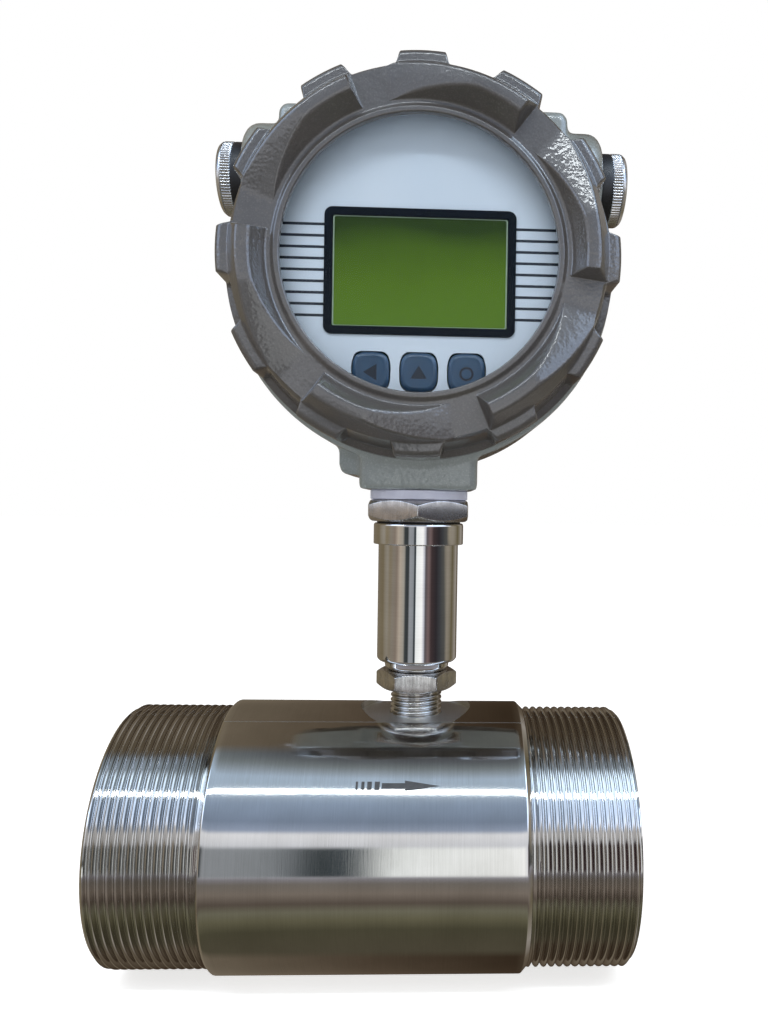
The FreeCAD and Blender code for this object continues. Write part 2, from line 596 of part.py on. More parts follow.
def terminal_screws():
    """Six slotted clamp screws, sunk in the block's wells."""
    screws = []
    for k in range(6):
        x = -17.5 + 7.0 * k
        screw = Part.makeCylinder(2.1, 1.9, V(STEM_X + x, 15.4, HEAD_Z - 12.6), Y)
        slot = block((x - 2.5, x + 2.5), (16.6, 18), (HEAD_Z - 12.9, HEAD_Z - 12.3))
        screws.append(screw.cut(slot))
    return screws


# ---------------------------------------------------------------- build

def save(name, shape):
    """Write one node; a list of separate solids becomes one group."""
    if isinstance(shape, list):
        shape = Part.makeCompound(shape)
    shape.exportStep(os.path.join("parts", name + ".step"))


def build():
    os.makedirs("parts", exist_ok=True)
    nodes = {
        "pipe_body": pipe_body(),
        "rotor": rotor(),
        "rotor_shaft": rotor_shaft(),
        "pickup_stud": pickup_stud(),
        "pickup_core": turned_on_stem([(29.1, 0), (29.1, 2.0), (45.0, 2.0), (45.0, 0)]),
        "pickup_coil": turned_on_stem([(30.0, 2.1), (43.5, 2.1), (43.5, 5.3), (30.0, 5.3)]),
        "pickup_magnet": turned_on_stem([(45.0, 0), (45.0, 4.6), (52.0, 4.6), (52.0, 0)]),
        "lock_nut": lock_nut(),
        "amplifier_tube": amplifier_tube(),
        "amplifier_board": block((-7.5, 7.5), (-0.8, 0.8), (63.5, 88.0)),
        "tube_o_ring": tube_o_ring(),
        "hex_nipple": hex_nipple(),
        "neck_gasket": neck_gasket(),
        "pickup_lead": pickup_lead(),
        "housing": housing(),
        "front_cover": front_cover(),
        "front_cover_o_ring": cover_o_ring(DRUM_FRONT - SEAL_LENGTH, DRUM_FRONT),
        "window_gasket": ring_on_head(-33.3, -32.8, 38.6, GLASS_R),
        "window_glass": disc_on_head(-32.8, -32.8 + GLASS_THICKNESS, GLASS_R),
        "rear_cover": rear_cover(),
        "rear_cover_o_ring": cover_o_ring(DRUM_REAR, DRUM_REAR + SEAL_LENGTH),
        "face_plate": face_plate(),
        "lcd_bezel": lcd_bezel(),
        "lcd_module": lcd_module(),
        "key_switches": key_switches(),
        "display_board": display_board(),
        "board_standoffs": board_standoffs(),
        "terminal_board": terminal_board(),
        "terminal_pillars": terminal_pillars(),
        "terminal_block": terminal_block(),
        "terminal_screws": terminal_screws(),
        "earth_screw": earth_screw(),
    }
    sides = (("inlet_", STEM_X, lambda shape: shape),
             ("outlet_", PIPE_LENGTH - STEM_X, for_outlet))
    for side, reach, placed in sides:
        nodes[side + "flow_guide"] = placed(flow_guide(reach))
        nodes[side + "bearing"] = placed(bearing())
        nodes[side + "spacer_sleeve"] = placed(spacer_sleeve(reach))
        nodes[side + "retaining_ring"] = placed(retaining_ring(reach))
    for side, name in ((-1, "left"), (1, "right")):
        nodes[name + "_conduit_plug"] = conduit_plug(side)
        nodes[name + "_plug_ring"] = plug_ring(side)
    for name, x in KEY_PLACES.items():
        nodes[name] = key(x)
    for name, shape in nodes.items():
        save(name, shape)


build()
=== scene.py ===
"""Turbine flow meter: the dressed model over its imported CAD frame.

Sizes here are in millimetres and go into the meshes in metres. The frame is the part's
own: the origin is the centre of the inlet face, +X is the flow, +Z is up to the head,
and the display faces -Y.
"""

import json
import logging
import math
from dataclasses import dataclass
from enum import Enum

import bmesh
import bpy
import numpy as np
from mathutils import Matrix

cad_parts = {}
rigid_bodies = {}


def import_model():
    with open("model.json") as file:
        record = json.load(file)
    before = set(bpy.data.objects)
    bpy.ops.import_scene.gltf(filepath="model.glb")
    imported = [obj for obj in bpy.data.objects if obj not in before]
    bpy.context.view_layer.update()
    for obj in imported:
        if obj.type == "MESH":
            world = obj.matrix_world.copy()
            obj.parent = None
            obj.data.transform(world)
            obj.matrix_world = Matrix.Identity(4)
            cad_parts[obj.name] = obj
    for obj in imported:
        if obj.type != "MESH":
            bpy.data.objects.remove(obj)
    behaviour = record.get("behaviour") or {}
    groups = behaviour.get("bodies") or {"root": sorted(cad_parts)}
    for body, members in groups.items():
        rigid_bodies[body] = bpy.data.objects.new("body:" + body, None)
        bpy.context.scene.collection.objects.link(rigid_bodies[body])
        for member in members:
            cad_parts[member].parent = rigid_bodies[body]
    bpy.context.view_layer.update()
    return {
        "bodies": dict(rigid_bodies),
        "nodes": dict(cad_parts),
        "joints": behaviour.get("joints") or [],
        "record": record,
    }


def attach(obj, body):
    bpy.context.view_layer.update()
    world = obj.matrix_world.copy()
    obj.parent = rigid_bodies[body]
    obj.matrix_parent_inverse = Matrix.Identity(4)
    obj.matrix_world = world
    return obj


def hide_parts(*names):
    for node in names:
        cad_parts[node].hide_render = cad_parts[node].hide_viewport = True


log = logging.getLogger("flow_meter")
Array = np.ndarray
Profile = Array | list[tuple[float, float]]
Object = bpy.types.Object
Material = bpy.types.Material
Tree = bpy.types.NodeTree
Node = bpy.types.Node
Socket = bpy.types.NodeSocket
MM = 0.001
CREASE = 32.0
MERGE_DISTANCE = 2e-7
STEM_X, HEAD_Z, SPOT_FACE_Z = 87.0, 168.8, 37.0


class Body(str, Enum):
    """The bodies of the model that pieces ride on."""

    METER = "meter_body"
    HEAD = "head"
    FRONT_COVER = "front_cover"
    REAR_COVER = "rear_cover"


class Grain(Enum):
    """The way the tool marks run on a metal, as the marks crossed in a metre of X, Y and Z."""

    TURNED_ON_PIPE = (5200.0, 60.0, 60.0)
    TURNED_ON_STEM = (60.0, 60.0, 5200.0)
    BRUSHED_UPRIGHT = (3400.0, 3400.0, 120.0)
    BRUSHED_ALL_WAYS = (2200.0, 2200.0, 2200.0)


class Symbol(Enum):
    """The plain mark on a key."""

    ARROW_LEFT = "arrow_left"
    TRIANGLE_UP = "triangle_up"
    RING = "ring"


# ---------------------------------------------------------------- shapes


@dataclass(frozen=True)
class Axis:
    """A turning axis: where it starts, its direction, and the two directions across it."""

    origin: tuple[float, float, float]
    along: tuple[float, float, float]
    outward: tuple[float, float, float]
    third: tuple[float, float, float]

    def place(self, a: Array, r: Array, turn: Array) -> Array:
        """Points at distance a along the axis and radius r, turned by an angle.

        Point = origin + a * along + r * (cos(turn) * outward + sin(turn) * third).

        Args:
            a: Distances along the axis, in mm.
            r: Radii, in mm.
            turn: Angles in radians.

        Returns:
            An array of points with one more dimension, of size 3.
        """
        a, r, turn = np.broadcast_arrays(a, r, turn)
        across = np.cos(turn)[..., None] * np.array(self.outward)
        across = across + np.sin(turn)[..., None] * np.array(self.third)
        return np.array(self.origin) + a[..., None] * np.array(self.along) + r[..., None] * across


PIPE = Axis((0, 0, 0), (1, 0, 0), (0, 0, 1), (0, -1, 0))
STEM = Axis((STEM_X, 0, 0), (0, 0, 1), (1, 0, 0), (0, 1, 0))
HEAD = Axis((STEM_X, 0, HEAD_Z), (0, 1, 0), (1, 0, 0), (0, 0, 1))
HUBS = Axis((STEM_X, 4, 201.5), (1, 0, 0), (0, 0, 1), (0, -1, 0))


@dataclass(frozen=True)
class Shell:
    """A closed surface: its points in mm and its four-sided faces."""

    points: Array
    faces: Array


def weave(points: Array, loop: bool = True, partner: Array | None = None) -> Shell:
    """Joins a grid of points into a shell whose columns close round a turn.

    Face (i, j) joins rows i and i + 1 at columns j and j + 1, and the last column joins
    the first one. The signed volume, a sum of triple products, tells which way the faces
    point, and they are turned over where it is negative.

    Args:
        points: A (rows, columns, 3) array.
        loop: Whether the last row joins the first one.
        partner: The row of column 0 that each row of the last column joins.

    Returns:
        The shell.
    """
    m, n = points.shape[:2]
    partner = np.arange(m) if partner is None else partner
    i = np.arange(m if loop else m - 1)
    k = (i + 1) % m
    j = np.arange(n - 1)
    inner = np.stack([i[:, None] * n + j, k[:, None] * n + j,
                      k[:, None] * n + j + 1, i[:, None] * n + j + 1], axis=-1).reshape(-1, 4)
    seam = np.stack([i * n + n - 1, k * n + n - 1, partner[k] * n, partner[i] * n], axis=-1)
    faces = np.concatenate([inner, seam])
    flat = points.reshape(-1, 3)
    centred = flat - flat.mean(axis=0)
    p, q, s, t = (centred[faces[:, c]] for c in range(4))
    volume = np.einsum("ij,ij->i", p, np.cross(q, s) + np.cross(s, t)).sum()
    return Shell(flat, faces if volume > 0 else faces[:, ::-1])


def rounded(corners: Profile, reach: Array | float, steps: int) -> Array:
    """Rounds the corners of a closed profile.

    Each corner C gives way to the curve (1-t)^2 A + 2t(1-t) C + t^2 B, whose ends A and B
    lie on its two sides at the wanted reach, or at 45% of a side where that is shorter.

    Args:
        corners: k points, or a (k, n, 2) array, as distance along the axis and radius.
        reach: The reach in mm, one for all or one for each corner.
        steps: Spans in each corner's curve.

    Returns:
        A (k * (steps + 1), n, 2) array.
    """
    c = np.asarray(corners, float)
    c = c[:, None, :] if c.ndim == 2 else c
    sides = [np.roll(c, shift, axis=0) - c for shift in (1, -1)]
    lengths = [np.linalg.norm(s, axis=-1, keepdims=True) for s in sides]
    want = np.broadcast_to(np.asarray(reach, float), (len(c),))[:, None, None]
    short = np.minimum(want, 0.45 * np.minimum(*lengths))
    a, b = (c + s / np.maximum(l, 1e-9) * short for s, l in zip(sides, lengths))
    t = np.linspace(0, 1, steps + 1)[None, :, None, None]
    curve = (1 - t) ** 2 * a[:, None] + 2 * t * (1 - t) * c[:, None] + t ** 2 * b[:, None]
    return curve.reshape(-1, *c.shape[1:])


def by_angle(rows: list[tuple], angles: Array) -> Array:
    """A profile that may change with the angle, for turned.

    Args:
        rows: Its corners, as distance along the axis and radius, each a number or an array
            of one value for each angle.
        angles: The angles.

    Returns:
        A (k, n, 2) array.
    """
    return np.array([np.stack(np.broadcast_arrays(a, r, angles)[:2], axis=-1) for a, r in rows])


def turned(axis: Axis, corners: Profile, reach: Array | float = 0.3, steps: int = 3,
           columns: int = 128, angles: Array | None = None) -> Shell:
    """A turned solid: a rounded profile carried round an axis.

    Args:
        axis: The axis it is turned about.
        corners: The profile's corners, as for rounded, one set for all or one per angle.
        reach: How far each corner's rounding reaches, in mm.
        steps: Spans in each rounding.
        columns: Even divisions of the turn, where no angles are given.
        angles: The angles of the columns, in degrees.

    Returns:
        The shell.
    """
    turn = np.radians(angles) if angles is not None else np.arange(columns) * 2 * np.pi / columns
    profile = rounded(corners, reach, steps)
    return weave(axis.place(profile[..., 0], profile[..., 1], turn[None, :]))


def close_angles(step: float, centres: list[float], reach: float, count: int) -> Array:
    """Angles round a turn: even steps, with closer ones about each of some centres.

    Args:
        step: The even step in degrees.
        centres: The angles, in degrees, that need closer columns.
        reach: How far the closer columns go to each side.
        count: How many there are about each centre.

    Returns:
        The angles in degrees, sorted, from 0 to 360.
    """
    close = (np.array(centres)[:, None] + np.linspace(-reach, reach, count)).ravel() % 360
    return np.unique(np.round(np.concatenate([np.arange(0, 360, step), close]), 4))


def soft_step(value: Array) -> Array:
    """A step from 0 to 1 with rounded ends: 3v^2 - 2v^3, with v held between 0 and 1."""
    v = np.clip(value, 0, 1)
    return v * v * (3 - 2 * v)


def hexagon_radius(turn: Array, half_flats: float, corner: float, corner_at: float) -> Array:
    """The radius of a hexagon with rounded corners, by angle.

    A flat gives half_flats / cos(angle from the flat's middle). A corner is an arc about a
    centre at d from the axis, which gives d cos(p) + sqrt(corner^2 - d^2 sin^2(p)), with p
    the angle from the corner, and the smaller of the two holds.

    Args:
        turn: Angles in degrees.
        half_flats: Half the size across flats.
        corner: The corners' radius.
        corner_at: The angle of one corner.

    Returns:
        The radii.
    """
    p = np.radians((np.asarray(turn) - corner_at + 30) % 60 - 30)
    flat = half_flats / np.cos(np.abs(p) - np.pi / 6)
    d = (half_flats - corner) / math.cos(math.pi / 6)
    inside = corner ** 2 - (d * np.sin(p)) ** 2
    arc = d * np.cos(p) + np.sqrt(np.maximum(inside, 0))
    on_arc = (inside > 0) & (np.abs(d * np.sin(p)) < corner * 0.5)
    return np.where(on_arc, np.minimum(flat, arc), flat)


@dataclass(frozen=True)
class Thread:
    """A thread with rounded crests and roots, cut along a helix.

    Row i of its grid starts one pitch before the thread's low end plus its own phase and
    climbs one pitch in a turn, so a crest is one row of the mesh all the way round.
    """

    major: float
    pitch: float
    depth: float
    phases = np.array([0, 0.06, 0.122, 0.25, 0.378, 0.44, 0.5, 0.56, 0.622, 0.75, 0.878, 0.94])
    shares = np.array([0, 0.022, 0.115, 0.5, 0.885, 0.978, 1, 0.978, 0.885, 0.5, 0.115, 0.022])

    def grid(self, low: float, high: float, turn: Array, starts: tuple[float, float],
             fades: tuple[float, float]) -> tuple[Array, Array]:
        """The thread's rows.

        The radius is major - depth * share(phase) * fade, and no more than a 45 degree
        cone at each end that has a chamfer.

        Args:
            low: Where it starts along the axis.
            high: Where it ends.
            turn: The columns' angles in radians.
            starts: The chamfer's size at the low and the high end, 0 for none.
            fades: The length over which the depth runs out at each end, 0 for none.

        Returns:
            The distances along the axis and the radii, each a (rows, columns) array.
        """
        climb = self.pitch * turn / (2 * np.pi)
        turns = math.ceil((high - low) / self.pitch) + 2
        first = (np.arange(turns)[:, None] + self.phases).ravel() * self.pitch + low - self.pitch
        a = np.clip(first[:, None] + climb, low, high)
        phase = ((a - climb - low) / self.pitch) % 1
        share = np.interp(phase, np.append(self.phases, 1), np.append(self.shares, 0))
        for distance, fade in ((a - low, fades[0]), (high - a, fades[1])):
            if fade:
                share = share * np.clip(distance / fade, 0, 1) ** 0.7
        r = self.major - self.depth * share
        for distance, start in ((a - low, starts[0]), (high - a, starts[1])):
            if start:
                r = np.minimum(r, self.major - start + distance)
        return a, r


@dataclass(frozen=True)
class Run:
    """One stretch of a turned profile: its grid, and how its last column joins its first."""

    a: Array
    r: Array
    shift: int = 0


def plain_run(points: list[tuple[float, float]], columns: int) -> Run:
    """A stretch of plain rows from (distance, radius) points."""
    p = np.array(points, float)
    return Run(*(np.repeat(p[:, c:c + 1], columns, axis=1) for c in (0, 1)))


def join_runs(axis: Axis, runs: list[Run], turn: Array) -> Shell:
    """A closed turned shell from its stretches, in order round the profile.

    Args:
        axis: The axis it is turned about.
        runs: The stretches.
        turn: The columns' angles in radians.

    Returns:
        The shell.
    """
    a = np.concatenate([run.a for run in runs])
    r = np.concatenate([run.r for run in runs])
    partner, base = [], 0
    for run in runs:
        rows = len(run.a)
        partner.append(base + np.minimum(np.arange(rows) + run.shift, rows - 1))
        base += rows
    return weave(axis.place(a, r, turn[None, :]), partner=np.concatenate(partner))


def ring(outline: Array, y: float) -> Array:
    """A closed row of a grid: (x, z) points, all at one depth y."""
    return np.column_stack([outline[:, 0], np.full(len(outline), y), outline[:, 1]])


def slab(outline: Array, y0: float, y1: float) -> Shell:
    """A flat plate across Y from a closed outline of (x, z) points round its own middle.

    Its rows are a point, the outline at each face, and a point again.

    Args:
        outline: An (n, 2) array.
        y0: The front face.
        y1: The rear face.

    Returns:
        The shell.
    """
    pole = np.repeat(outline.mean(axis=0)[None], len(outline), 0)
    rows = ((pole, y0), (outline, y0), (outline, y1), (pole, y1))
    return weave(np.array([ring(*row) for row in rows]), loop=False)


def rounded_rectangle(centre: tuple[float, float], size: tuple[float, float], corner: float,
                      steps: int = 6) -> Array:
    """The outline of a rectangle with rounded corners, as (x, z) points.

    Each corner is a quarter circle: centre + corner * (cos, sin).

    Args:
        centre: Its middle.
        size: Its width and height.
        corner: Its corners' radius.
        steps: Spans in each corner.

    Returns:
        An (n, 2) array.
    """
    turn = np.radians(np.concatenate([np.linspace(q, q + 90, steps + 1)
                                      for q in (0, 90, 180, 270)]))
    signs = np.repeat([[1, 1], [-1, 1], [-1, -1], [1, -1]], steps + 1, axis=0)
    curve = corner * np.column_stack([np.cos(turn), np.sin(turn)])
    return np.array(centre) + signs * (np.array(size) / 2 - corner) + curve


def frame_shell(centre: tuple[float, float], outer: tuple[float, float], width: float,
                corner: float, y0: float, y1: float, edge: float) -> Shell:
    """A flat picture frame across Y with softened edges.

    Outlines, outer and inner at the rear and the front, are carried as the rows of a
    closed ring, with a small bevel between the front face and each side.

    Args:
        centre: Its middle, as x and z.
        outer: Its outer width and height.
        width: The width of its rim.
        corner: Its outer corner radius.
        y0: Its front face.
        y1: Its rear face.
        edge: The bevel's size.

    Returns:
        The shell.
    """
    rows = ((0, y1), (0, y0 + edge), (edge, y0), (width - edge, y0), (width, y0 + edge),
            (width, y1))
    return weave(np.array([ring(rounded_rectangle(
        centre, (outer[0] - 2 * inset, outer[1] - 2 * inset), max(corner - inset, 0.3)), y)
        for inset, y in rows]))


def make_object(name: str, shells: list[Shell], crease: float = CREASE) -> Object:
    """Puts shells into one mesh object at the origin, merged, and smooth up to a crease.

    Args:
        name: The object's name.
        shells: The closed surfaces it is made of.
        crease: The angle in degrees past which an edge stays sharp.

    Returns:
        The object, linked to the scene.
    """
    offsets = np.cumsum([0] + [len(s.points) for s in shells[:-1]])
    points = np.concatenate([s.points for s in shells]) * MM
    faces = np.concatenate([s.faces + o for s, o in zip(shells, offsets)])
    mesh = bpy.data.meshes.new(name)
    mesh.vertices.add(len(points))
    mesh.vertices.foreach_set("co", points.ravel())
    mesh.loops.add(faces.size)
    mesh.loops.foreach_set("vertex_index", faces.ravel())
    mesh.polygons.add(len(faces))
    mesh.polygons.foreach_set("loop_start", np.arange(0, faces.size, 4))
    mesh.update(calc_edges=True)
    finish_mesh(mesh, crease)
    piece = bpy.data.objects.new(name, mesh)
    bpy.context.scene.collection.objects.link(piece)
    return piece


def finish_mesh(mesh: bpy.types.Mesh, crease: float) -> None:
    """Merges doubled points, drops collapsed faces, and shades smooth up to a crease.

    Args:
        mesh: The mesh.
        crease: The angle in degrees past which an edge stays sharp.
    """
    work = bmesh.new()
    work.from_mesh(mesh)
    bmesh.ops.remove_doubles(work, verts=work.verts, dist=MERGE_DISTANCE)
    bmesh.ops.dissolve_degenerate(work, edges=work.edges, dist=MERGE_DISTANCE)
    work.to_mesh(mesh)
    work.free()
    mesh.polygons.foreach_set("use_smooth", np.ones(len(mesh.polygons), bool))
    mesh.set_sharp_from_angle(angle=math.radians(crease))


def applied(piece: Object, crease: float) -> Object:
    """Fixes a piece's modifiers into its mesh and shades it again.

    Args:
        piece: The piece.
        crease: The angle in degrees past which an edge stays sharp.

    Returns:
        The same piece.
    """
    graph = bpy.context.evaluated_depsgraph_get()
    mesh = bpy.data.meshes.new_from_object(piece.evaluated_get(graph))
    piece.modifiers.clear()
    piece.data = mesh
    finish_mesh(mesh, crease)
    return piece


def cut_out(piece: Object, shells: list[Shell], crease: float) -> Object:
    """Cuts shells out of a piece.

    Args:
        piece: The piece.
        shells: What is cut away.
        crease: The angle in degrees past which an edge of the result stays sharp.

    Returns:
        The same piece.
    """
    cutter = make_object("cutter", shells)
    cut = piece.modifiers.new("cut", "BOOLEAN")
    cut.operation, cut.object, cut.solver = "DIFFERENCE", cutter, "EXACT"
    applied(piece, crease)
    bpy.data.objects.remove(cutter)
    return piece


# ---------------------------------------------------------------- shader nodes


def linear(colour: str) -> tuple[float, float, float, float]:
    """Turns an sRGB hex colour, a hash and six digits, to linear red, green, blue and alpha."""
    parts = [int(colour[i:i + 2], 16) / 255 for i in (1, 3, 5)]
    r, g, b = [p / 12.92 if p <= 0.04045 else ((p + 0.055) / 1.055) ** 2.4 for p in parts]
    return r, g, b, 1.0


def cleared(owner: Material | bpy.types.World) -> Tree:
    """Turns on a material's or the world's nodes, and returns their tree, emptied."""
    owner.use_nodes = True
    owner.node_tree.nodes.clear()
    return owner.node_tree


def add(tree: Tree, kind: str, settings: dict | None = None,
        links: dict | None = None) -> Node:
    """Adds one shader node with its settings and links.

    Args:
        tree: The node tree.
        kind: The node's type, without "ShaderNode".
        settings: Values by the name of a property, or the name or number of an input.
            "stops" holds a colour ramp's positions and colours.
        links: Output sockets by the name or number of the input that they feed.

    Returns:
        The node.
    """
    node = tree.nodes.new("ShaderNode" + kind)
    for key, value in (settings or {}).items():
        if key == "stops":
            stops = node.color_ramp.elements
            for element, (position, colour) in zip(stops, (value[0], value[-1])):
                element.position, element.color = position, linear(colour)
            for position, colour in value[1:-1]:
                stops.new(position).color = linear(colour)
        elif isinstance(key, str) and hasattr(node, key):
            setattr(node, key, value)
        else:
            node.inputs[key].default_value = value
    for key, source in (links or {}).items():
        tree.links.new(source, node.inputs[key])
    return node


def span(tree: Tree, value: Socket, low: float = 0.0, high: float = 1.0, to_low: float = 0.0,
         to_high: float = 1.0) -> Socket:
    """Carries a value from the range low..high to to_low..to_high, held at its ends."""
    return add(tree, "MapRange", {"From Min": low, "From Max": high, "To Min": to_low,
                                  "To Max": to_high}, {"Value": value}).outputs["Result"]


def maths(tree: Tree, operation: str, *terms: Socket | float) -> Socket:
    """One operation on terms that are sockets or plain numbers, in the node's own order."""
    numbers = {k: term for k, term in enumerate(terms) if isinstance(term, float)}
    sockets = {k: term for k, term in enumerate(terms) if k not in numbers}
    return add(tree, "Math", {"operation": operation, **numbers}, sockets).outputs[0]


def noise(tree: Tree, where: Socket, scale: float, detail: float,
          roughness: float = 0.5) -> Socket:
    """A cloudy value, with its scale as the number of clouds in a metre."""
    return add(tree, "TexNoise", {"Scale": scale, "Detail": detail, "Roughness": roughness},
               {"Vector": where}).outputs["Fac"]


def ramp(tree: Tree, stops: list[tuple[float, str]], value: Socket) -> Socket:
    """A colour by a value, from (value, colour) stops."""
    return add(tree, "ValToRGB", {"stops": stops}, {"Fac": value}).outputs["Color"]


def mixed(tree: Tree, share: Socket | float, first: Socket, second: Socket | str,
          how: str = "MIX") -> Socket:
    """Two colours mixed by a share of the second, where a plain colour is given in hex."""
    settings: dict = {"data_type": "RGBA", "blend_type": how}
    links = {6: first}
    for slot, source in ((0, share), (7, second)):
        if isinstance(source, Socket):
            links[slot] = source
        else:
            settings[slot] = linear(source) if isinstance(source, str) else source
    return add(tree, "Mix", settings, links).outputs[2]


# ---------------------------------------------------------------- finishes


@dataclass(frozen=True)
class Finish:
    """A material: its name, typical values and the patterns that every surface has.

    mottle is the size in mm of its slow change of colour, from colour to shade; grit is
    the size in mm of its relief and relief that relief's height in mm. spread is how far
    the roughness strays to each side.
    """

    name: str
    colour: str
    shade: str
    roughness: float = 0.5
    mottle: float = 6.0
    metallic: float = 0.0
    coat: float = 0.0
    coat_roughness: float = 0.1
    ior: float = 1.5
    grit: float = 1.0
    relief: float = 0.0
    spread: float = 0.05

    def make(self) -> Material:
        """Builds the material, and returns it."""
        material = bpy.data.materials.new(self.name)
        tree = cleared(material)
        where = add(tree, "TexCoord").outputs["Object"]
        settings = {"Metallic": self.metallic, "Roughness": self.roughness,
                    "Coat Weight": self.coat, "Coat Roughness": self.coat_roughness}
        if self.metallic < 0.5:
            settings["IOR"] = self.ior
        surface = self.dress(tree, add(tree, "BsdfPrincipled", settings), where)
        add(tree, "OutputMaterial", links={"Surface": surface.outputs[0]})
        return material

    def dress(self, tree: Tree, shader: Node, where: Socket) -> Node:
        """Adds the finish's patterns.

        Args:
            tree: The material's node tree.
            shader: Its Principled shader.
            where: The object coordinates.

        Returns:
            The node that gives the surface.
        """
        slow = noise(tree, where, 1000 / self.mottle, 3.0)
        tree.links.new(ramp(tree, [(0.3, self.colour), (0.7, self.shade)], slow),
                       shader.inputs["Base Color"])
        self.wear(tree, shader, slow, 0.0, 1.0)
        if self.relief:
            self.emboss(tree, shader, noise(tree, where, 1000 / self.grit, 2.0), self.relief)
        return shader

    def wear(self, tree: Tree, shader: Node, value: Socket, low: float,
             high: float) -> None:
        """Spreads the roughness about its typical value as a value goes from low to high."""
        level = span(tree, value, low, high, max(self.roughness - self.spread, 0.02),
                     self.roughness + self.spread)
        tree.links.new(level, shader.inputs["Roughness"])

    def emboss(self, tree: Tree, shader: Node, height: Socket, depth: float) -> None:
        """Raises the surface, and the coat where there is one, by a depth in mm."""
        bump = add(tree, "Bump", {"Strength": 1.0, "Distance": depth * MM}, {"Height": height})
        for name in ("Normal", "Coat Normal") if self.coat else ("Normal",):
            tree.links.new(bump.outputs["Normal"], shader.inputs[name])


@dataclass(frozen=True)
class ToolMarked(Finish):
    """Bare metal with the marks of the tool that made it, all running one way."""

    metallic: float = 1.0
    grain: Grain = Grain.TURNED_ON_PIPE
    depth: float = 0.01

    def dress(self, tree: Tree, shader: Node, where: Socket) -> Node:
        """Adds streaks to the colour, the roughness and the relief, and slow blotches."""
        lie = add(tree, "Mapping", {"Scale": self.grain.value}, {"Vector": where}).outputs[0]
        marks = noise(tree, lie, 1.0, 3.0, 0.6)
        both = maths(tree, "MULTIPLY_ADD", marks, 0.6, noise(tree, where, 1000 / self.mottle, 3.0))
        tree.links.new(ramp(tree, [(0.55, self.colour), (1.0, self.shade)], both),
                       shader.inputs["Base Color"])
        self.wear(tree, shader, both, 0.4, 1.2)
        self.emboss(tree, shader, marks, self.depth)
        return shader


@dataclass(frozen=True)
class SpotFaced(ToolMarked):
    """Turned bar with a milled seat for the sensor, whose flat shines less than the turning."""

    seat_z: float = SPOT_FACE_Z
    seat_roughness: float = 0.42

    def dress(self, tree: Tree, shader: Node, where: Socket) -> Node:
        """Adds the turning marks, and the seat's duller flat at its own height."""
        super().dress(tree, shader, where)
        turning = shader.inputs["Roughness"].links[0].from_socket
        z = add(tree, "SeparateXYZ", links={0: where}).outputs["Z"]
        flat = maths(tree, "COMPARE", z, self.seat_z * MM, 0.05 * MM)
        dull = maths(tree, "MULTIPLY", flat, self.seat_roughness)
        tree.links.new(maths(tree, "MAXIMUM", turning, dull), shader.inputs["Roughness"])
        return shader


@dataclass(frozen=True)
class CastEnamel(Finish):
    """Stoved gloss enamel over a pressure casting: pebbled gloss with a fine fleck."""

    coat: float = 1.0
    fleck: str = "#77736f"
    fleck_size: float = 0.45

    def dress(self, tree: Tree, shader: Node, where: Socket) -> Node:
        """Adds the fleck, the pebbling of the gloss and a slow change of tone."""
        slow = noise(tree, where, 1000 / self.mottle, 2.0)
        tone = ramp(tree, [(0.35, self.colour), (0.65, self.shade)], slow)
        specks = noise(tree, where, 1000 / self.fleck_size, 1.0)
        share = span(tree, specks, 0.52, 0.75, to_high=0.55)
        tree.links.new(mixed(tree, share, tone, self.fleck), shader.inputs["Base Color"])
        pebbles = add(tree, "TexVoronoi", {"feature": "SMOOTH_F1", "Scale": 1000 / self.grit,
                                           "Smoothness": 0.8}, {"Vector": where})
        swell = noise(tree, where, 1000 / (self.grit * 3.2), 2.0)
        height = maths(tree, "MULTIPLY_ADD", pebbles.outputs["Distance"], 0.5, swell)
        self.emboss(tree, shader, height, self.relief)
        return shader


@dataclass(frozen=True)
class Crystal(Finish):
    """The liquid-crystal panel: olive green over its reflector, with painted shade that darkens it
    along the top.
    """

    # low and high: the heights in mm over which the painted shade darkens the green.
    low: float = 150.1
    high: float = 181.5
    cell: float = 0.6
    gap: float = 0.04

    def dress(self, tree: Tree, shader: Node, where: Socket) -> Node:
        """Adds a green that darkens with height, which is painted shade, and the panel's fine
        square cells.
        """
        parts = add(tree, "SeparateXYZ", links={0: where})
        # Painted shade: from the bottom up the green darkens from colour to shade, moved a little
        # by a cloudy value.
        rise = span(tree, parts.outputs["Z"], self.low * MM, self.high * MM)
        painted_shade_and_mottle = maths(tree, "MULTIPLY_ADD", noise(tree, where, 60.0, 1.0), 0.22, rise)
        tone = ramp(tree, [(0.1, self.colour), (0.5, "#54741f"), (0.8, "#47631c"),
                           (1.0, self.shade)], painted_shade_and_mottle)
        flat = add(tree, "CombineXYZ", links={"X": parts.outputs["X"], "Y": parts.outputs["Z"]})
        cells = add(tree, "TexBrick", {
            "Scale": 1.0, "offset": 0.0, "Color1": linear("#ffffff"),
            "Color2": linear("#f4f4f0"), "Mortar": linear("#dfe2d6"),
            "Mortar Size": self.gap * MM, "Brick Width": self.cell * MM,
            "Row Height": self.cell * MM}, {"Vector": flat.outputs[0]})
        lit = mixed(tree, 0.5, tone, cells.outputs["Color"], "MULTIPLY")
        tree.links.new(lit, shader.inputs["Base Color"])
        return shader


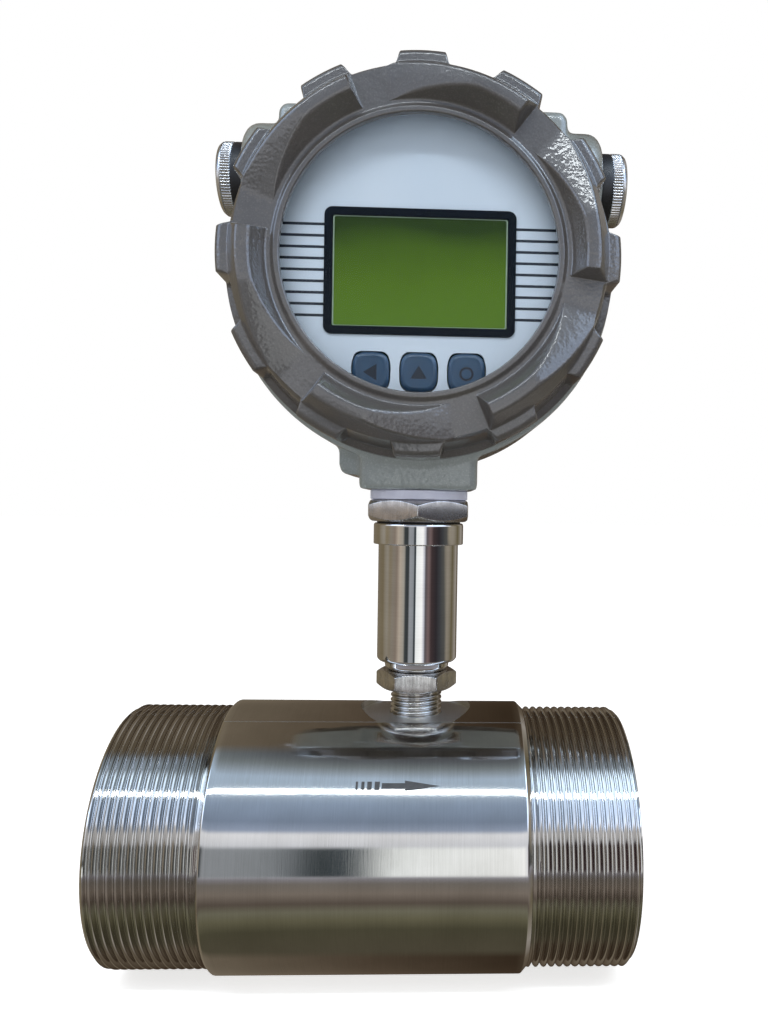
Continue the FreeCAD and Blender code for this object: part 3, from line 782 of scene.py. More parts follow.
@dataclass(frozen=True)
class FloatGlass(Finish):
    """Clear float glass: it passes what is behind it and mirrors a little, more at the rim."""

    def dress(self, tree: Tree, shader: Node, where: Socket) -> Node:
        """Mixes a clear and a mirror shader by the angle of sight, with faint wipe marks."""
        tree.nodes.remove(shader)
        clear = add(tree, "BsdfTransparent", {"Color": linear(self.colour)})
        wipe = add(tree, "Mapping", {"Scale": (60.0, 60.0, 900.0), "Rotation": (0, 0.9, 0)},
                   {"Vector": where}).outputs[0]
        blur = span(tree, noise(tree, wipe, 1.0, 3.0), to_low=0.01, to_high=0.06)
        mirror = add(tree, "BsdfGlossy", {"Color": linear(self.shade)}, {"Roughness": blur})
        facing = add(tree, "LayerWeight", {"Blend": 0.5}).outputs["Facing"]
        share = span(tree, maths(tree, "POWER", facing, 5.0), to_low=0.003, to_high=0.9)
        return add(tree, "MixShader", links={0: share, 1: clear.outputs[0],
                                             2: mirror.outputs[0]})


ALL_WAYS, ON_STEM = Grain.BRUSHED_ALL_WAYS, Grain.TURNED_ON_STEM
FINISHES: dict[str, Finish] = {finish.name: finish for finish in (
    # Austenitic stainless bar, turned: fine rings round the axis, bright and a little warm.
    SpotFaced("turned_stainless", "#cfccc8", "#c0bdb8", 0.08, 14.0, spread=0.025, depth=0.003),
    # The same bar, polished: a mirror with the faintest rings.
    ToolMarked("polished_stainless", "#d6d4d1", "#cac7c3", 0.035, 9.0, spread=0.012,
               grain=ON_STEM, depth=0.0006),
    # Drawn hexagon bar: upright drawing lines on the flats, softer shine.
    ToolMarked("hexagon_stainless", "#dcd9d6", "#a8a4a0", 0.24, 3.0, spread=0.08,
               grain=Grain.BRUSHED_UPRIGHT, depth=0.02),
    ToolMarked("guide_stainless", "#b9b6b1", "#a29e99", 0.32, 8.0, spread=0.06),
    ToolMarked("rotor_steel", "#a9a8a6", "#929190", 0.28, spread=0.06, grain=ALL_WAYS,
               depth=0.008),
    Finish("carbide", "#4a4b4e", "#3c3d40", 0.25, 2.0, 1.0, grit=0.2, relief=0.003),
    Finish("pole_iron", "#77746f", "#5f5c58", 0.45, 3.0, 1.0, grit=0.3, relief=0.006),
    ToolMarked("copper_winding", "#b46a3c", "#8e4d28", 0.30, 2.0, grain=ON_STEM, depth=0.05),
    Finish("circuit_board", "#1f5a35", "#18482a", 0.35, 5.0, coat=0.4, grit=0.5, relief=0.01),
    Finish("white_nylon", "#d9dcee", "#cdd0e4", 0.42, 5.0, ior=1.53, grit=0.4, relief=0.006),
    Finish("black_rubber", "#1b1c20", "#121316", 0.42, 3.0, ior=1.52, grit=0.35, relief=0.008),
    CastEnamel("housing_enamel", "#878e8d", "#7f8685", 0.40, 25.0, coat_roughness=0.12,
               ior=1.52, grit=1.1, relief=0.16, fleck="#a1a7a5"),
    CastEnamel("cover_enamel", "#4b4846", "#43403e", 0.40, 22.0, coat_roughness=0.09,
               ior=1.52, grit=0.85, relief=0.09, fleck="#5b5754"),
    FloatGlass("window_glass", "#fbfcfb", "#ffffff"),
    Finish("face_print", "#cdd9ec", "#c4d2e7", 0.30, 30.0, coat=0.2, ior=1.45, grit=0.5,
           relief=0.004),
    Finish("bezel_navy", "#040c18", "#030a13", 0.34, 4.0, ior=1.2, grit=0.3, relief=0.004),
    # The crystal's shade is painted shade: the green darkens towards the panel's top.
    Crystal("lcd_green", "#5a7c28", "#2c4018", 0.30, ior=1.2),
    Finish("key_navy", "#2c4a6a", "#24405e", 0.30, 2.5, grit=0.4, relief=0.012),
    Finish("black_plastic", "#1c1c1e", "#151517", 0.45, 4.0, grit=0.3, relief=0.008),
    ToolMarked("brass_pillar", "#b59a5a", "#9c8148", 0.25, 3.0, grain=ALL_WAYS, depth=0.006),
    Finish("terminal_green", "#2f7a4c", "#276a41", 0.45, grit=0.4, relief=0.008),
    ToolMarked("plated_screw", "#b8b6b0", "#a09e98", 0.28, 2.0, grain=ALL_WAYS, depth=0.006),
    ToolMarked("knurled_plug", "#e0dfde", "#c6c5c4", 0.26, 3.0, grain=ALL_WAYS, depth=0.002),
)}
# Ink, laser marks and the panel's rim: no node of the part has them, so they are no slots.
MARKS: dict[str, Finish] = {finish.name: finish for finish in (
    Finish("navy_ink", "#0c1626", "#101a2b", 0.38, 3.0),
    Finish("laser_mark", "#3f3f3f", "#4c4b4a", 0.5, 1.5, 0.6),
    Finish("panel_edge", "#9fb3a2", "#8ba08f", 0.25, 3.0),
)}


@dataclass
class Workshop:
    """What the sub-assemblies share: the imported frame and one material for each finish."""

    frame: dict
    materials: dict[str, Material]

    def fit(self, piece: Object, body: Body | str, finish: str, *nodes: str) -> None:
        """Gives a piece its finish and body, and hides the nodes that it stands for.

        Args:
            piece: The piece.
            body: The body that it rides on.
            finish: The name of its finish.
            nodes: The CAD nodes that it replaces.
        """
        piece.data.materials.clear()
        piece.data.materials.append(self.materials[finish])
        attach(piece, body.value if isinstance(body, Body) else body)
        if nodes:
            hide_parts(*nodes)
        log.info("%s: %d faces", piece.name, len(piece.data.polygons))

    def make(self, name: str, shells: list[Shell], body: Body | str, finish: str, *nodes: str,
             crease: float = CREASE) -> None:
        """Makes a piece from shells and fits it; the arguments are make_object's and fit's."""
        self.fit(make_object(name, shells, crease), body, finish, *nodes)

    def copied(self, node: str, name: str, crease: float) -> Object:
        """A merged copy of a CAD node, which itself stays as it is.

        Args:
            node: The node.
            name: The copy's name.
            crease: The angle in degrees past which an edge stays sharp.

        Returns:
            The copy, linked to the scene.
        """
        piece = self.frame["nodes"][node].copy()
        piece.data = piece.data.copy()
        piece.name = piece.data.name = name
        bpy.context.scene.collection.objects.link(piece)
        finish_mesh(piece.data, crease)
        return piece


# ---------------------------------------------------------------- sub-assemblies


@dataclass
class MeterBody:
    """The turned pipe body: two pipe threads, the barrel, the bore and the sensor's seat."""

    length: float = 150.0
    thread: Thread = Thread(37.592, 2.309, 1.479)
    thread_length: float = 30.0
    thread_start: float = 1.5
    runout: float = 1.6
    neck_r: float = 37.6
    barrel_r: float = 39.25
    barrel_chamfer: float = 1.5
    seat_r: float = 26.0
    bore_r: float = 25.0
    chamber: tuple[float, float] = (60.0, 114.0)
    groove: tuple[float, float, float] = (8.0, 1.8, 1.4)
    spot_r: float = 16.9
    spot_z: float = SPOT_FACE_Z
    pocket_r: float = 8.0
    pocket_z: float = 27.2
    columns: int = 180
    arrow_height: float = 38.2

    def body(self) -> Object:
        """Turns the body and cuts the spot-face and the sensor's pocket, and returns it."""
        turn = np.arange(self.columns) * 2 * np.pi / self.columns
        n, c, end = self.columns, self.barrel_chamfer, self.length
        start, stop = self.thread_length, end - self.thread_length
        shift, bevel, runout = len(self.thread.phases), self.thread_start, self.runout
        inlet = Run(*self.thread.grid(0, start, turn, (bevel, 0), (0, runout)), shift)
        outlet = Run(*self.thread.grid(stop, end, turn, (0, bevel), (runout, 0)), shift)
        step = [(0, self.neck_r), (0.02, self.barrel_r - c), (c, self.barrel_r)]
        shoulder = rounded([(start + x, r) for x, r in step]
                           + [(stop - x, r) for x, r in step[::-1]],
                           [0, 0, 0.25, 0.25, 0, 0], 2)[:, 0, :]
        inner = [p for p in shoulder if p[0] < start + c + 1]
        outer = [p for p in shoulder if p[0] > stop - c - 1]
        middle = [(x, self.barrel_r) for x in np.arange(start + c + 2, stop - c - 1, 2.5)]
        barrel = plain_run([*map(tuple, inner), *middle, *map(tuple, outer)], n)
        g, w, d = self.groove
        s, (first, last) = self.seat_r, self.chamber
        mouth = [(0, s + 1), (1, s), (g, s), (g, s + d), (g + w, s + d), (g + w, s)]
        bore = plain_run([(end - x, r) for x, r in mouth]
                         + [(last, s), (last, self.bore_r), (first, self.bore_r), (first, s)]
                         + mouth[::-1], n)
        body = make_object("pipe_body_turned",
                           [join_runs(PIPE, [inlet, barrel, outlet, bore], turn)])
        seat = [(self.pocket_z, 0), (self.pocket_z, self.pocket_r),
                (self.spot_z, self.pocket_r), (self.spot_z, self.spot_r), (50, self.spot_r),
                (50, 0)]
        return cut_out(body, [turned(STEM, seat, 0.0, 1, 96)], 28.0)

    def arrow(self) -> list[Shell]:
        """The laser-marked flow arrow on the barrel: four bars, a shaft and a head.

        Each mark is a thin curved plate: x along the pipe, and an arc length s that gives
        the angle s / radius about the pipe, measured up from arrow_height in degrees.

        Returns:
            Its shells.
        """
        middle = math.radians(self.arrow_height)
        bars = [(71.9, 0.62, 2.35), (73.55, 0.85, 2.35), (75.35, 1.25, 2.35),
                (77.45, 1.4, 2.35), (81.9, 6.4, 1.55)]
        outlines = [rounded_rectangle((x, 0.0), (width, height), 0.06, 2)
                    for x, width, height in bars]
        outlines.append(np.array([(85.0, -1.5), (94.6, 0.0), (85.0, 1.5), (85.0, 0.0)]))
        top, foot = self.barrel_r + 0.02, self.barrel_r - 0.03
        shells = []
        for line in outlines:
            pole = np.repeat(line.mean(0)[None], len(line), 0)
            rings = []
            for flat, r in ((pole, top), (line, top), (line, foot), (pole, foot)):
                angle = middle + flat[:, 1] / self.barrel_r
                rings.append(np.column_stack([flat[:, 0], -r * np.cos(angle),
                                              r * np.sin(angle)]))
            shells.append(weave(np.array(rings), loop=False))
        return shells

    def build(self, shop: Workshop) -> None:
        """Makes the body and its mark."""
        shop.fit(self.body(), Body.METER, "turned_stainless", "pipe_body")
        shop.make("flow_arrow", self.arrow(), Body.METER, "laser_mark")


@dataclass
class Stem:
    """The upright stack: threaded sensor shell, lock nut, polished tube, union and gasket."""

    stud: Thread = Thread(7.9, 1.5, 0.92)
    stud_z: tuple[float, float] = (27.4, 61.5)
    thread_z: tuple[float, float] = (37.1, 58.0)
    nut_z: tuple[float, float] = (44.8, 50.5)
    nut_flats: float = 21.6
    ring_z: tuple[float, float] = (95.6, 96.1)
    union_z: tuple[float, float] = (96.1, 102.8)
    union_flats: float = 30.0
    union_bore: float = 7.02
    union_thread: Thread = Thread(10.0, 1.5, 0.92)
    union_top: float = 120.0
    gasket_z: tuple[float, float] = (102.8, 105.6)
    columns: int = 96

    def sensor_shell(self) -> Shell:
        """The blind tube, with its thread from the pipe's face up into the amplifier tube."""
        turn, n = np.arange(self.columns) * 2 * np.pi / self.columns, self.columns
        low, high = self.stud_z
        r, start, stop = self.stud.major, *self.thread_z
        foot = rounded([(low, 5.0), (low, r - 1), (low + 1, r), (start, r)],
                       [0, 0.2, 0.3, 0], 2)[:, 0, :]
        before = plain_run([(low, 0.0), *map(tuple, foot)], n)
        thread = Run(*self.stud.grid(start, stop, turn, (0, 0.5), (0.3, 0)),
                     len(self.stud.phases))
        after = plain_run([(stop, 7.0), (high, 7.0), (high, 5.6), (low + 1.6, 5.6),
                           (low + 1.6, 0.0)], n)
        return join_runs(STEM, [before, thread, after], turn)

    def hexagon(self, flats: float, z: tuple[float, float], corner_at: float, face: float,
                slope: float, bore: float, corner: float) -> Shell:
        """A hexagon with both ends chamfered by a cone.

        At each angle the cone of radius face at the end, widening by 1 / slope, meets the
        hexagon's side at slope * (hexagon radius - face) from that end.

        Args:
            flats: The size across flats.
            z: Its lower and upper end.
            corner_at: The angle of one corner in degrees.
            face: The radius at which the cone meets the end face.
            slope: The cone's rise for each mm of radius.
            bore: The radius of its hole.
            corner: The radius of its corners.

        Returns:
            The shell.
        """
        angles = close_angles(3.0, [corner_at + 60 * k for k in range(6)], 2.4, 13)
        radius = hexagon_radius(angles, flats / 2, corner, corner_at)
        drop, (low, high) = slope * (radius - face), z
        rows = [(low, bore), (low, face), (low + drop, radius), (high - drop, radius),
                (high, face), (high, bore)]
        return turned(STEM, by_angle(rows, angles), [0.1, 0.25, 0.18, 0.18, 0.25, 0.1], 3,
                      angles=angles)

    def tube(self) -> Shell:
        """The amplifier tube, from its small foot to the wide collar under the seal ring."""
        return turned(STEM, [
            (50.5, 7.95), (50.5, 8.9), (51.4, 9.85), (53.4, 9.9), (53.4, 11.7), (54.0, 12.3),
            (89.1, 12.3), (89.1, 13.85), (95.6, 13.85), (95.6, 10.9), (87.6, 10.9), (87.6, 10.2),
            (62.5, 10.2), (62.5, 7.95)],
            [0.1, 0.3, 0.6, 0.15, 0.1, 0.5, 0.12, 0.35, 0.8, 0.3, 0.1, 0.1, 0.1, 0.1], 5, 160)

    def washer(self, z: tuple[float, float], radii: tuple[float, float], soft: float) -> Shell:
        """A flat ring with soft outer corners.

        Args:
            z: Its lower and upper face.
            radii: Its inner and outer radius.
            soft: How far the rounding of its outer corners reaches.

        Returns:
            The shell.
        """
        (low, high), (inner, outer) = z, radii
        corners = [(low, inner), (high, inner), (high, outer), (low, outer)]
        return turned(STEM, corners, [0.1, 0.1, soft, soft], 4, 120)

    def union(self) -> list[Shell]:
        """The union: its hexagon, the spigot in the tube and the thread in the head."""
        (low, high), bore, n = self.union_z, self.union_bore, self.columns
        turn = np.arange(n) * 2 * np.pi / n
        spigot = turned(STEM, [(low - 7.8, bore), (low - 7.8, 10.2), (low - 7.0, 10.8),
                               (low + 0.3, 10.8), (low + 0.3, bore)], 0.1, 1, n)
        thread = self.union_thread.grid(high, self.union_top, turn, (0, 0.8), (1.0, 0))
        top = join_runs(STEM, [plain_run([(high - 0.3, bore), (high - 0.3, 9.9)], n),
                               Run(*thread, len(self.union_thread.phases)),
                               plain_run([(self.union_top, bore)], n)], turn)
        return [self.hexagon(self.union_flats, self.union_z, 30, 14.35, 0.62, 7.0, 0.6),
                spigot, top]

    def build(self, shop: Workshop) -> None:
        """Makes each piece of the stem."""
        nut = self.hexagon(self.nut_flats, self.nut_z, 0, 10.35, 0.5, 7.95, 0.5)
        ring_seal = self.washer(self.ring_z, (11.0, 12.9), 0.24)
        gasket = self.washer(self.gasket_z, (10.3, 15.0), 0.45)
        for name, shells, finish, node in (
                ("sensor_shell_threaded", [self.sensor_shell()], "turned_stainless",
                 "pickup_stud"),
                ("lock_nut_chamfered", [nut], "hexagon_stainless", "lock_nut"),
                ("amplifier_tube_polished", [self.tube()], "polished_stainless",
                 "amplifier_tube"),
                ("tube_seal_ring", [ring_seal], "black_rubber", "tube_o_ring"),
                ("hexagon_union", self.union(), "hexagon_stainless", "hex_nipple"),
                ("neck_gasket_ring", [gasket], "white_nylon", "neck_gasket")):
            shop.make(name, shells, Body.METER, finish, node)


@dataclass
class Cover:
    """The toothed skirt that both covers share, and what differs between them."""

    skirt_r: float = 54.8
    teeth: int = 12
    tooth: float = 14.6
    flank: float = 2.2

    def tooth_share(self, angles: Array) -> Array:
        """How much of a tooth stands at each angle, from 0 to 1, with soft flanks."""
        spacing = 360 / self.teeth
        off = np.abs((angles + spacing / 2) % spacing - spacing / 2)
        return soft_step((self.tooth / 2 + self.flank / 2 - off) / self.flank)

    def tooth_angles(self) -> Array:
        """The columns' angles, closer about each tooth's two flanks."""
        edges = [360 / self.teeth * k + side * self.tooth / 2 for k in range(self.teeth)
                 for side in (-1, 1)]
        return close_angles(1.5, edges, 1.0, 11)


@dataclass
class FrontCover(Cover):
    """The bezel cover: teeth round its wall and six ramped lobes on its face."""

    face: float = -34.5
    lobes: int = 6
    lobe_start: float = -7.3
    lobe_flat: float = 20.0
    lobe_ramp: float = 29.0
    lobe_height: float = 5.5
    lobe_ease: float = 0.06

    def lobe_rise(self, angles: Array) -> Array:
        """Each lobe's height: a steep soft step up, a flat, then a straight ramp down.

        The ramp's two ends are parabolas that reach lobe_ease of its length to each side.
        """
        spacing, ease = 360 / self.lobes, self.lobe_ease
        off = (angles - self.lobe_start + 5) % spacing - 5
        up = soft_step((off + 0.3) / 2.3)
        fall = (off - self.lobe_flat) / self.lobe_ramp
        down = 1 - np.select([fall < -ease, fall < ease, fall < 1 - ease, fall < 1 + ease],
                             [0, (fall + ease) ** 2 / (4 * ease), fall,
                              1 - (1 + ease - fall) ** 2 / (4 * ease)], 1)
        return self.lobe_height * np.minimum(up, down)

    def shell(self) -> Shell:
        """The cover as one grid: the profile's corners depend on the angle."""
        marks = [self.lobe_start + 60 * k for k in range(self.lobes)]
        ends = [m + s for m in marks for s in (20, 49)]
        angles = self.tooth_angles()
        for centres, reach, count in (([m + 1.0 for m in marks], 2.0, 17), (ends, 0.5, 5)):
            angles = np.union1d(angles, close_angles(1.5, centres, reach, count))
        t, h, f = self.tooth_share(angles), self.lobe_rise(angles), self.face
        share, stands = h / self.lobe_height, np.clip(h / 0.8, 0, 1)
        edge = 50.2 + (1 - t) * 0.78 * stands + 3.4 * t
        outer = np.minimum(51.0, edge - 0.02)
        # From the skirt's mouth over the teeth and the lobes to the window's lip, then back
        # along the glass pocket and the thread.
        profile = by_angle([
            (-17.0, 50.9), (-17.0, self.skirt_r), (-22.0, self.skirt_r),
            (-22.6, 52.6 + 2.2 * t), (-33.1 - 0.2 * t, 51.2 + 3.6 * t), (f, edge), (f, outer),
            (f - h, np.minimum(51 - 3 * share, outer)), (f - h, 41.1 + 3.4 * share), (f, 41.1),
            (f, 39.85), (-35.12, 39.1), (-35.3, 38.75), (-35.3, 37.75), (-35.05, 37.4),
            (-33.3, 37.4), (-33.3, 41.4), (-28.6, 41.4), (-28.6, 44.3), (-26.0, 44.3),
            (-26.0, 48.3), (-19.0, 48.3), (-19.0, 50.9)], angles)
        reach = [0.1, 0.5, 0.35, 0.5, 1.1, 0.8, 0.5, 0.8, 0.9, 0.8, 0.5, 0.3, 0.2, 0.2, 0.2]
        return turned(HEAD, profile, reach + [0.1] * 8, 4, angles=angles)

    def build(self, shop: Workshop) -> None:
        """Makes the cover with its window."""
        shop.make("front_cover_lobed", [self.shell()], Body.FRONT_COVER, "cover_enamel",
                  "front_cover")
        glass = turned(HEAD, [(-32.8, 0), (-32.8, 41.0), (-28.8, 41.0), (-28.8, 0)],
                       [0, 0.3, 0.3, 0], 3, 128)
        shop.make("window_pane", [glass], Body.FRONT_COVER, "window_glass", "window_glass")


@dataclass
class RearCover(Cover):
    """The blind cover: the same skirt closed by a shallow dome."""

    def shell(self) -> Shell:
        """The cover as one grid, with a pole in the middle of each side of its dome."""
        angles = self.tooth_angles()
        t = self.tooth_share(angles)
        rows = [(22.5, 50.9), (22.5, self.skirt_r), (28.5, self.skirt_r), (29.1, 52.6 + 2.2 * t),
                (34.0 - 0.4 * t, 51.6 + 3.2 * t), (35.8 - 0.7 * t, 50.6 + 2.8 * t), (37.0, 48.0),
                (38.6, 36.0), (39.35, 18.0), (39.6, 0.0), (35.0, 0.0), (35.0, 44.0),
                (32.2, 44.0), (32.2, 48.3), (24.5, 48.3), (24.5, 50.9)]
        reach = [0.1, 0.5, 0.35, 0.5, 0.9, 0.6, 1.5, 5.0, 6.0, 0, 0, 0.3, 0.1, 0.1, 0.1, 0.1]
        return turned(HEAD, by_angle(rows, angles), reach, 4, angles=angles)

    def build(self, shop: Workshop) -> None:
        """Makes the cover."""
        shop.make("rear_cover_domed", [self.shell()], Body.REAR_COVER, "cover_enamel",
                  "rear_cover")


@dataclass
class Housing:
    """The head's casting, softened as a casting is, with its plugs and earth screw."""

    cell: float = 1.0
    hub_end: float = 54.4
    plug_r: float = 11.0
    plug_start: float = 57.8
    plug_length: float = 4.6
    knurls: int = 80
    knurl_depth: float = 0.28

    def casting(self, shop: Workshop) -> Object:
        """Remeshes a merged copy of the housing node and smooths it, and returns it."""
        piece = shop.copied("housing", "housing_casting", 180.0)
        remesh = piece.modifiers.new("skin", "REMESH")
        remesh.mode, remesh.voxel_size = "VOXEL", self.cell * MM
        smooth = piece.modifiers.new("soften", "SMOOTH")
        smooth.factor, smooth.iterations = 0.5, 3
        return applied(piece, 60.0)

    def plug(self, side: int) -> Shell:
        """A blanking plug with a straight knurl round its head.

        The radius of the head loses knurl_depth * (1 - |sin|) of half the knurl count times
        the angle, between its two plain rims.

        Args:
            side: -1 for the left plug, 1 for the right.

        Returns:
            The shell.
        """
        angles = np.arange(0, 360, 360 / (self.knurls * 5))
        cut = self.knurl_depth * (1 - np.abs(np.sin(np.radians(angles) * self.knurls / 2)))
        s, e, r = self.plug_start, self.plug_start + self.plug_length, self.plug_r
        low = self.hub_end - 11.0
        rows = [(low, 0.0), (low, 9.1), (low + 0.8, 9.9), (s, 9.9), (s, r - 0.35),
                (s + 0.35, r - cut), (e - 1.7, r - cut), (e - 1.55, r - 0.35),
                (e - 1.3, r - 0.1), (e - 0.1, r - 1.0), (e, r - 2.2), (e, 0.0)]
        profile = by_angle([(side * a, radius) for a, radius in rows], angles)
        reach = [0, 0.2, 0.3, 0.1, 0.1, 0.1, 0.05, 0.05, 0.5, 0.7, 0.3, 0]
        return turned(HUBS, profile, reach, 3, angles=angles)

    def build(self, shop: Workshop) -> None:
        """Makes the casting, the plugs with their rings, and the earth screw."""
        shop.fit(self.casting(shop), Body.HEAD, "housing_enamel", "housing")
        for side, name in ((-1, "left"), (1, "right")):
            shop.make(name + "_plug_knurled", [self.plug(side)], name + "_plug",
                      "knurled_plug", name + "_conduit_plug")
            a, b = side * self.hub_end, side * self.plug_start
            seal = turned(HUBS, [(a, 10.0), (b, 10.0), (b, 10.95), (a, 10.95)],
                          [0.1, 0.1, 0.8, 0.8], 4, 96)
            shop.make(name + "_plug_seal_ring", [seal], name + "_plug_seal", "black_rubber",
                      name + "_plug_ring")
        screw = Axis((STEM_X - 20.4, 22, 112.9), (0, 1, 0), (1, 0, 0), (0, 0, 1))
        head = turned(screw, [(-6.5, 0), (-6.5, 1.6), (0, 1.6), (0, 3.0), (0.7, 3.0),
                              (0.7, 2.7), (2.2, 2.5), (2.8, 1.6), (2.8, 0)],
                      [0, 0.3, 0.05, 0.1, 0.1, 0.1, 0.5, 0.4, 0], 3, 64)
        shop.make("earth_screw_panhead", [head], Body.HEAD, "plated_screw", "earth_screw")


@dataclass
class Display:
    """What shows through the window: printed plate, frame, crystal panel and three keys."""

    x: float = STEM_X
    z: float = HEAD_Z
    plate_y: float = -27.5
    stripes: int = 9
    stripe_top: float = 9.2
    stripe_pitch: float = 3.13
    stripe_thickness: float = 0.75
    stripe_from: float = 26.45
    plate_r: float = 42.6
    bezel: tuple[float, float] = (52.9, 34.9)
    bezel_drop: float = -3.4
    view: tuple[float, float] = (48.3, 30.7)
    key_size: tuple[float, float] = (10.2, 10.7)
    key_drop: float = -31.0
    key_pitch: float = 13.2
    key_front: float = -28.1
    key_power: float = 3.3

    def printed_stripes(self) -> list[Shell]:
        """The level bars beside the frame: each ends on the plate's own circle."""
        shells = []
        for k in range(self.stripes):
            z = self.stripe_top - k * self.stripe_pitch
            reach = math.sqrt(self.plate_r ** 2 - (abs(z) + self.stripe_thickness) ** 2)
            for side in (-1, 1):
                middle = side * (self.stripe_from + reach) / 2
                line = rounded_rectangle((self.x + middle, self.z + z),
                                         (reach - self.stripe_from, self.stripe_thickness),
                                         0.05, 1)
                shells.append(slab(line, self.plate_y - 0.03, self.plate_y + 0.01))
        return shells

    def key_line(self, grow: float) -> Array:
        """A key's outline: nearly level top and bottom, bowed sides and round corners.

        It is the curve |x / a|^n + |z / b|^n = 1, at x = a |cos t|^(2 / n) and
        z = b |sin t|^(2 / n) with the signs of cos t and sin t, where n is key_power.

        Args:
            grow: How far the outline stands out from the key's nominal size.

        Returns:
            (x, z) points round the key's own middle.
        """
        turn = np.radians(np.arange(0, 360, 5.0))
        wave = np.column_stack([np.cos(turn), np.sin(turn)])
        return (np.array(self.key_size) / 2 + grow) * np.sign(wave) \
            * np.abs(wave) ** (2 / self.key_power)

    def plate(self, shop: Workshop) -> Object:
        """A merged copy of the plate's node with its key holes cut to the keys, and returns it."""
        holes = [slab(self.middle(x) + self.key_line(0.3), self.plate_y - 1, self.plate_y + 4)
                 for x in (-self.key_pitch, 0, self.key_pitch)]
        return cut_out(shop.copied("face_plate", "printed_plate", 30.0), holes, 3.0)

    def middle(self, across: float) -> Array:
        """The (x, z) middle of the key that lies this far across the face."""
        return np.array([self.x + across, self.z + self.key_drop])

    def key(self, across: float) -> Shell:
        """A key cap: its wall, a sloping border and a slightly hollow face.

        Args:
            across: Its place across the face from the middle.

        Returns:
            The shell.
        """
        f, back = self.key_front, -25.6
        rows = ((0, back), (0, f + 0.6), (-0.05, f + 0.45), (-0.25, f + 0.25), (-0.95, f + 0.04),
                (-1.1, f), (-1.25, f + 0.05), (-1.8, f + 0.13), (-3.2, f + 0.16))
        pole = np.zeros_like(self.key_line(0))
        rings = [(pole, back), *((self.key_line(grow), y) for grow, y in rows), (pole, f + 0.16)]
        return weave(np.array([ring(self.middle(across) + line, y) for line, y in rings]),
                     loop=False)

    def symbol(self, kind: Symbol, across: float) -> list[Shell]:
        """A key's plain mark, as thin plates lying in its hollow face.

        Args:
            kind: Which mark.
            across: The key's place across the face from the middle.

        Returns:
            Its shells.
        """
        place = self.middle(across) - [0, 0.2]
        y0, y1 = self.key_front + 0.11, self.key_front + 0.2
        if kind is Symbol.RING:
            turn = np.radians(np.arange(0, 360, 7.5))
            circle = np.column_stack([np.cos(turn), np.sin(turn)])
            return [weave(np.array([ring(place + r * circle, y) for r, y in
                                    ((2.0, y1), (2.0, y0), (1.35, y0), (1.35, y1))]))]
        corners = np.array([(2.3, -1.6), (0.0, 2.1), (-2.3, -1.6)])
        if kind is Symbol.ARROW_LEFT:
            corners = np.array([(1.6, 2.3), (-2.1, 0.0), (1.6, -2.3)])
        line = np.concatenate([np.linspace(corners[k], corners[(k + 1) % 3], 5)[:-1]
                               for k in range(3)])
        return [slab(place + line, y0, y1)]

    def build(self, shop: Workshop) -> None:
        """Makes the display's pieces."""
        shop.fit(self.plate(shop), Body.HEAD, "face_print", "face_plate")
        shop.make("printed_stripes", self.printed_stripes(), Body.HEAD, "navy_ink")
        centre, y = (self.x, self.z + self.bezel_drop), self.plate_y
        rim = (self.bezel[0] - self.view[0]) / 2
        bezel = frame_shell(centre, self.bezel, rim, 2.2, y - 0.6, y, 0.12)
        shop.make("lcd_frame", [bezel], Body.HEAD, "bezel_navy", "lcd_bezel")
        inside = (self.view[0] - 0.1, self.view[1] - 0.1)
        edge = frame_shell(centre, inside, 0.38, 0.9, y - 0.12, y + 0.1, 0.05)
        shop.make("lcd_edge", [edge], Body.HEAD, "panel_edge")
        for kind, body, across in ((Symbol.ARROW_LEFT, "key_left", -self.key_pitch),
                                   (Symbol.TRIANGLE_UP, "key_middle", 0.0),
                                   (Symbol.RING, "key_right", self.key_pitch)):
            shop.make(body + "_cap", [self.key(across)], body, "key_navy", body, crease=50.0)
            shop.make(body + "_mark", self.symbol(kind, across), body, "navy_ink")


# ---------------------------------------------------------------- studio


def stand(piece: Object, *columns: Array) -> None:
    """Links an object, placed by its matrix's columns: its three axes, then its origin."""
    matrix = Matrix.Identity(4)
    for column, axis in enumerate(columns):
        for row in range(3):
            matrix[row][column] = axis[row]
    piece.matrix_world = matrix
    bpy.context.scene.collection.objects.link(piece)


@dataclass(frozen=True)
class Lamp:
    """An area lamp: where it hangs and its size in mm, and whether shiny surfaces mirror it."""

    name: str
    place: tuple[float, float, float]
    size: tuple[float, float]
    watts: float
    colour: str
    mirrored: bool = False

    def hang(self, target: tuple[float, float, float]) -> None:
        """Hangs the lamp, aimed at a target in mm."""
        data = bpy.data.lights.new(self.name, "AREA")
        data.shape = "RECTANGLE"
        data.size, data.size_y = (side * MM for side in self.size)
        data.energy, data.color = self.watts, linear(self.colour)[:3]
        piece = bpy.data.objects.new(self.name, data)
        piece.visible_glossy = self.mirrored
        back = np.array(self.place) - np.array(target)
        back = back / np.linalg.norm(back)
        right = np.cross([0, 0, 1], back)
        right = right / np.linalg.norm(right)
        stand(piece, right, np.cross(back, right), back, np.array(self.place) * MM)


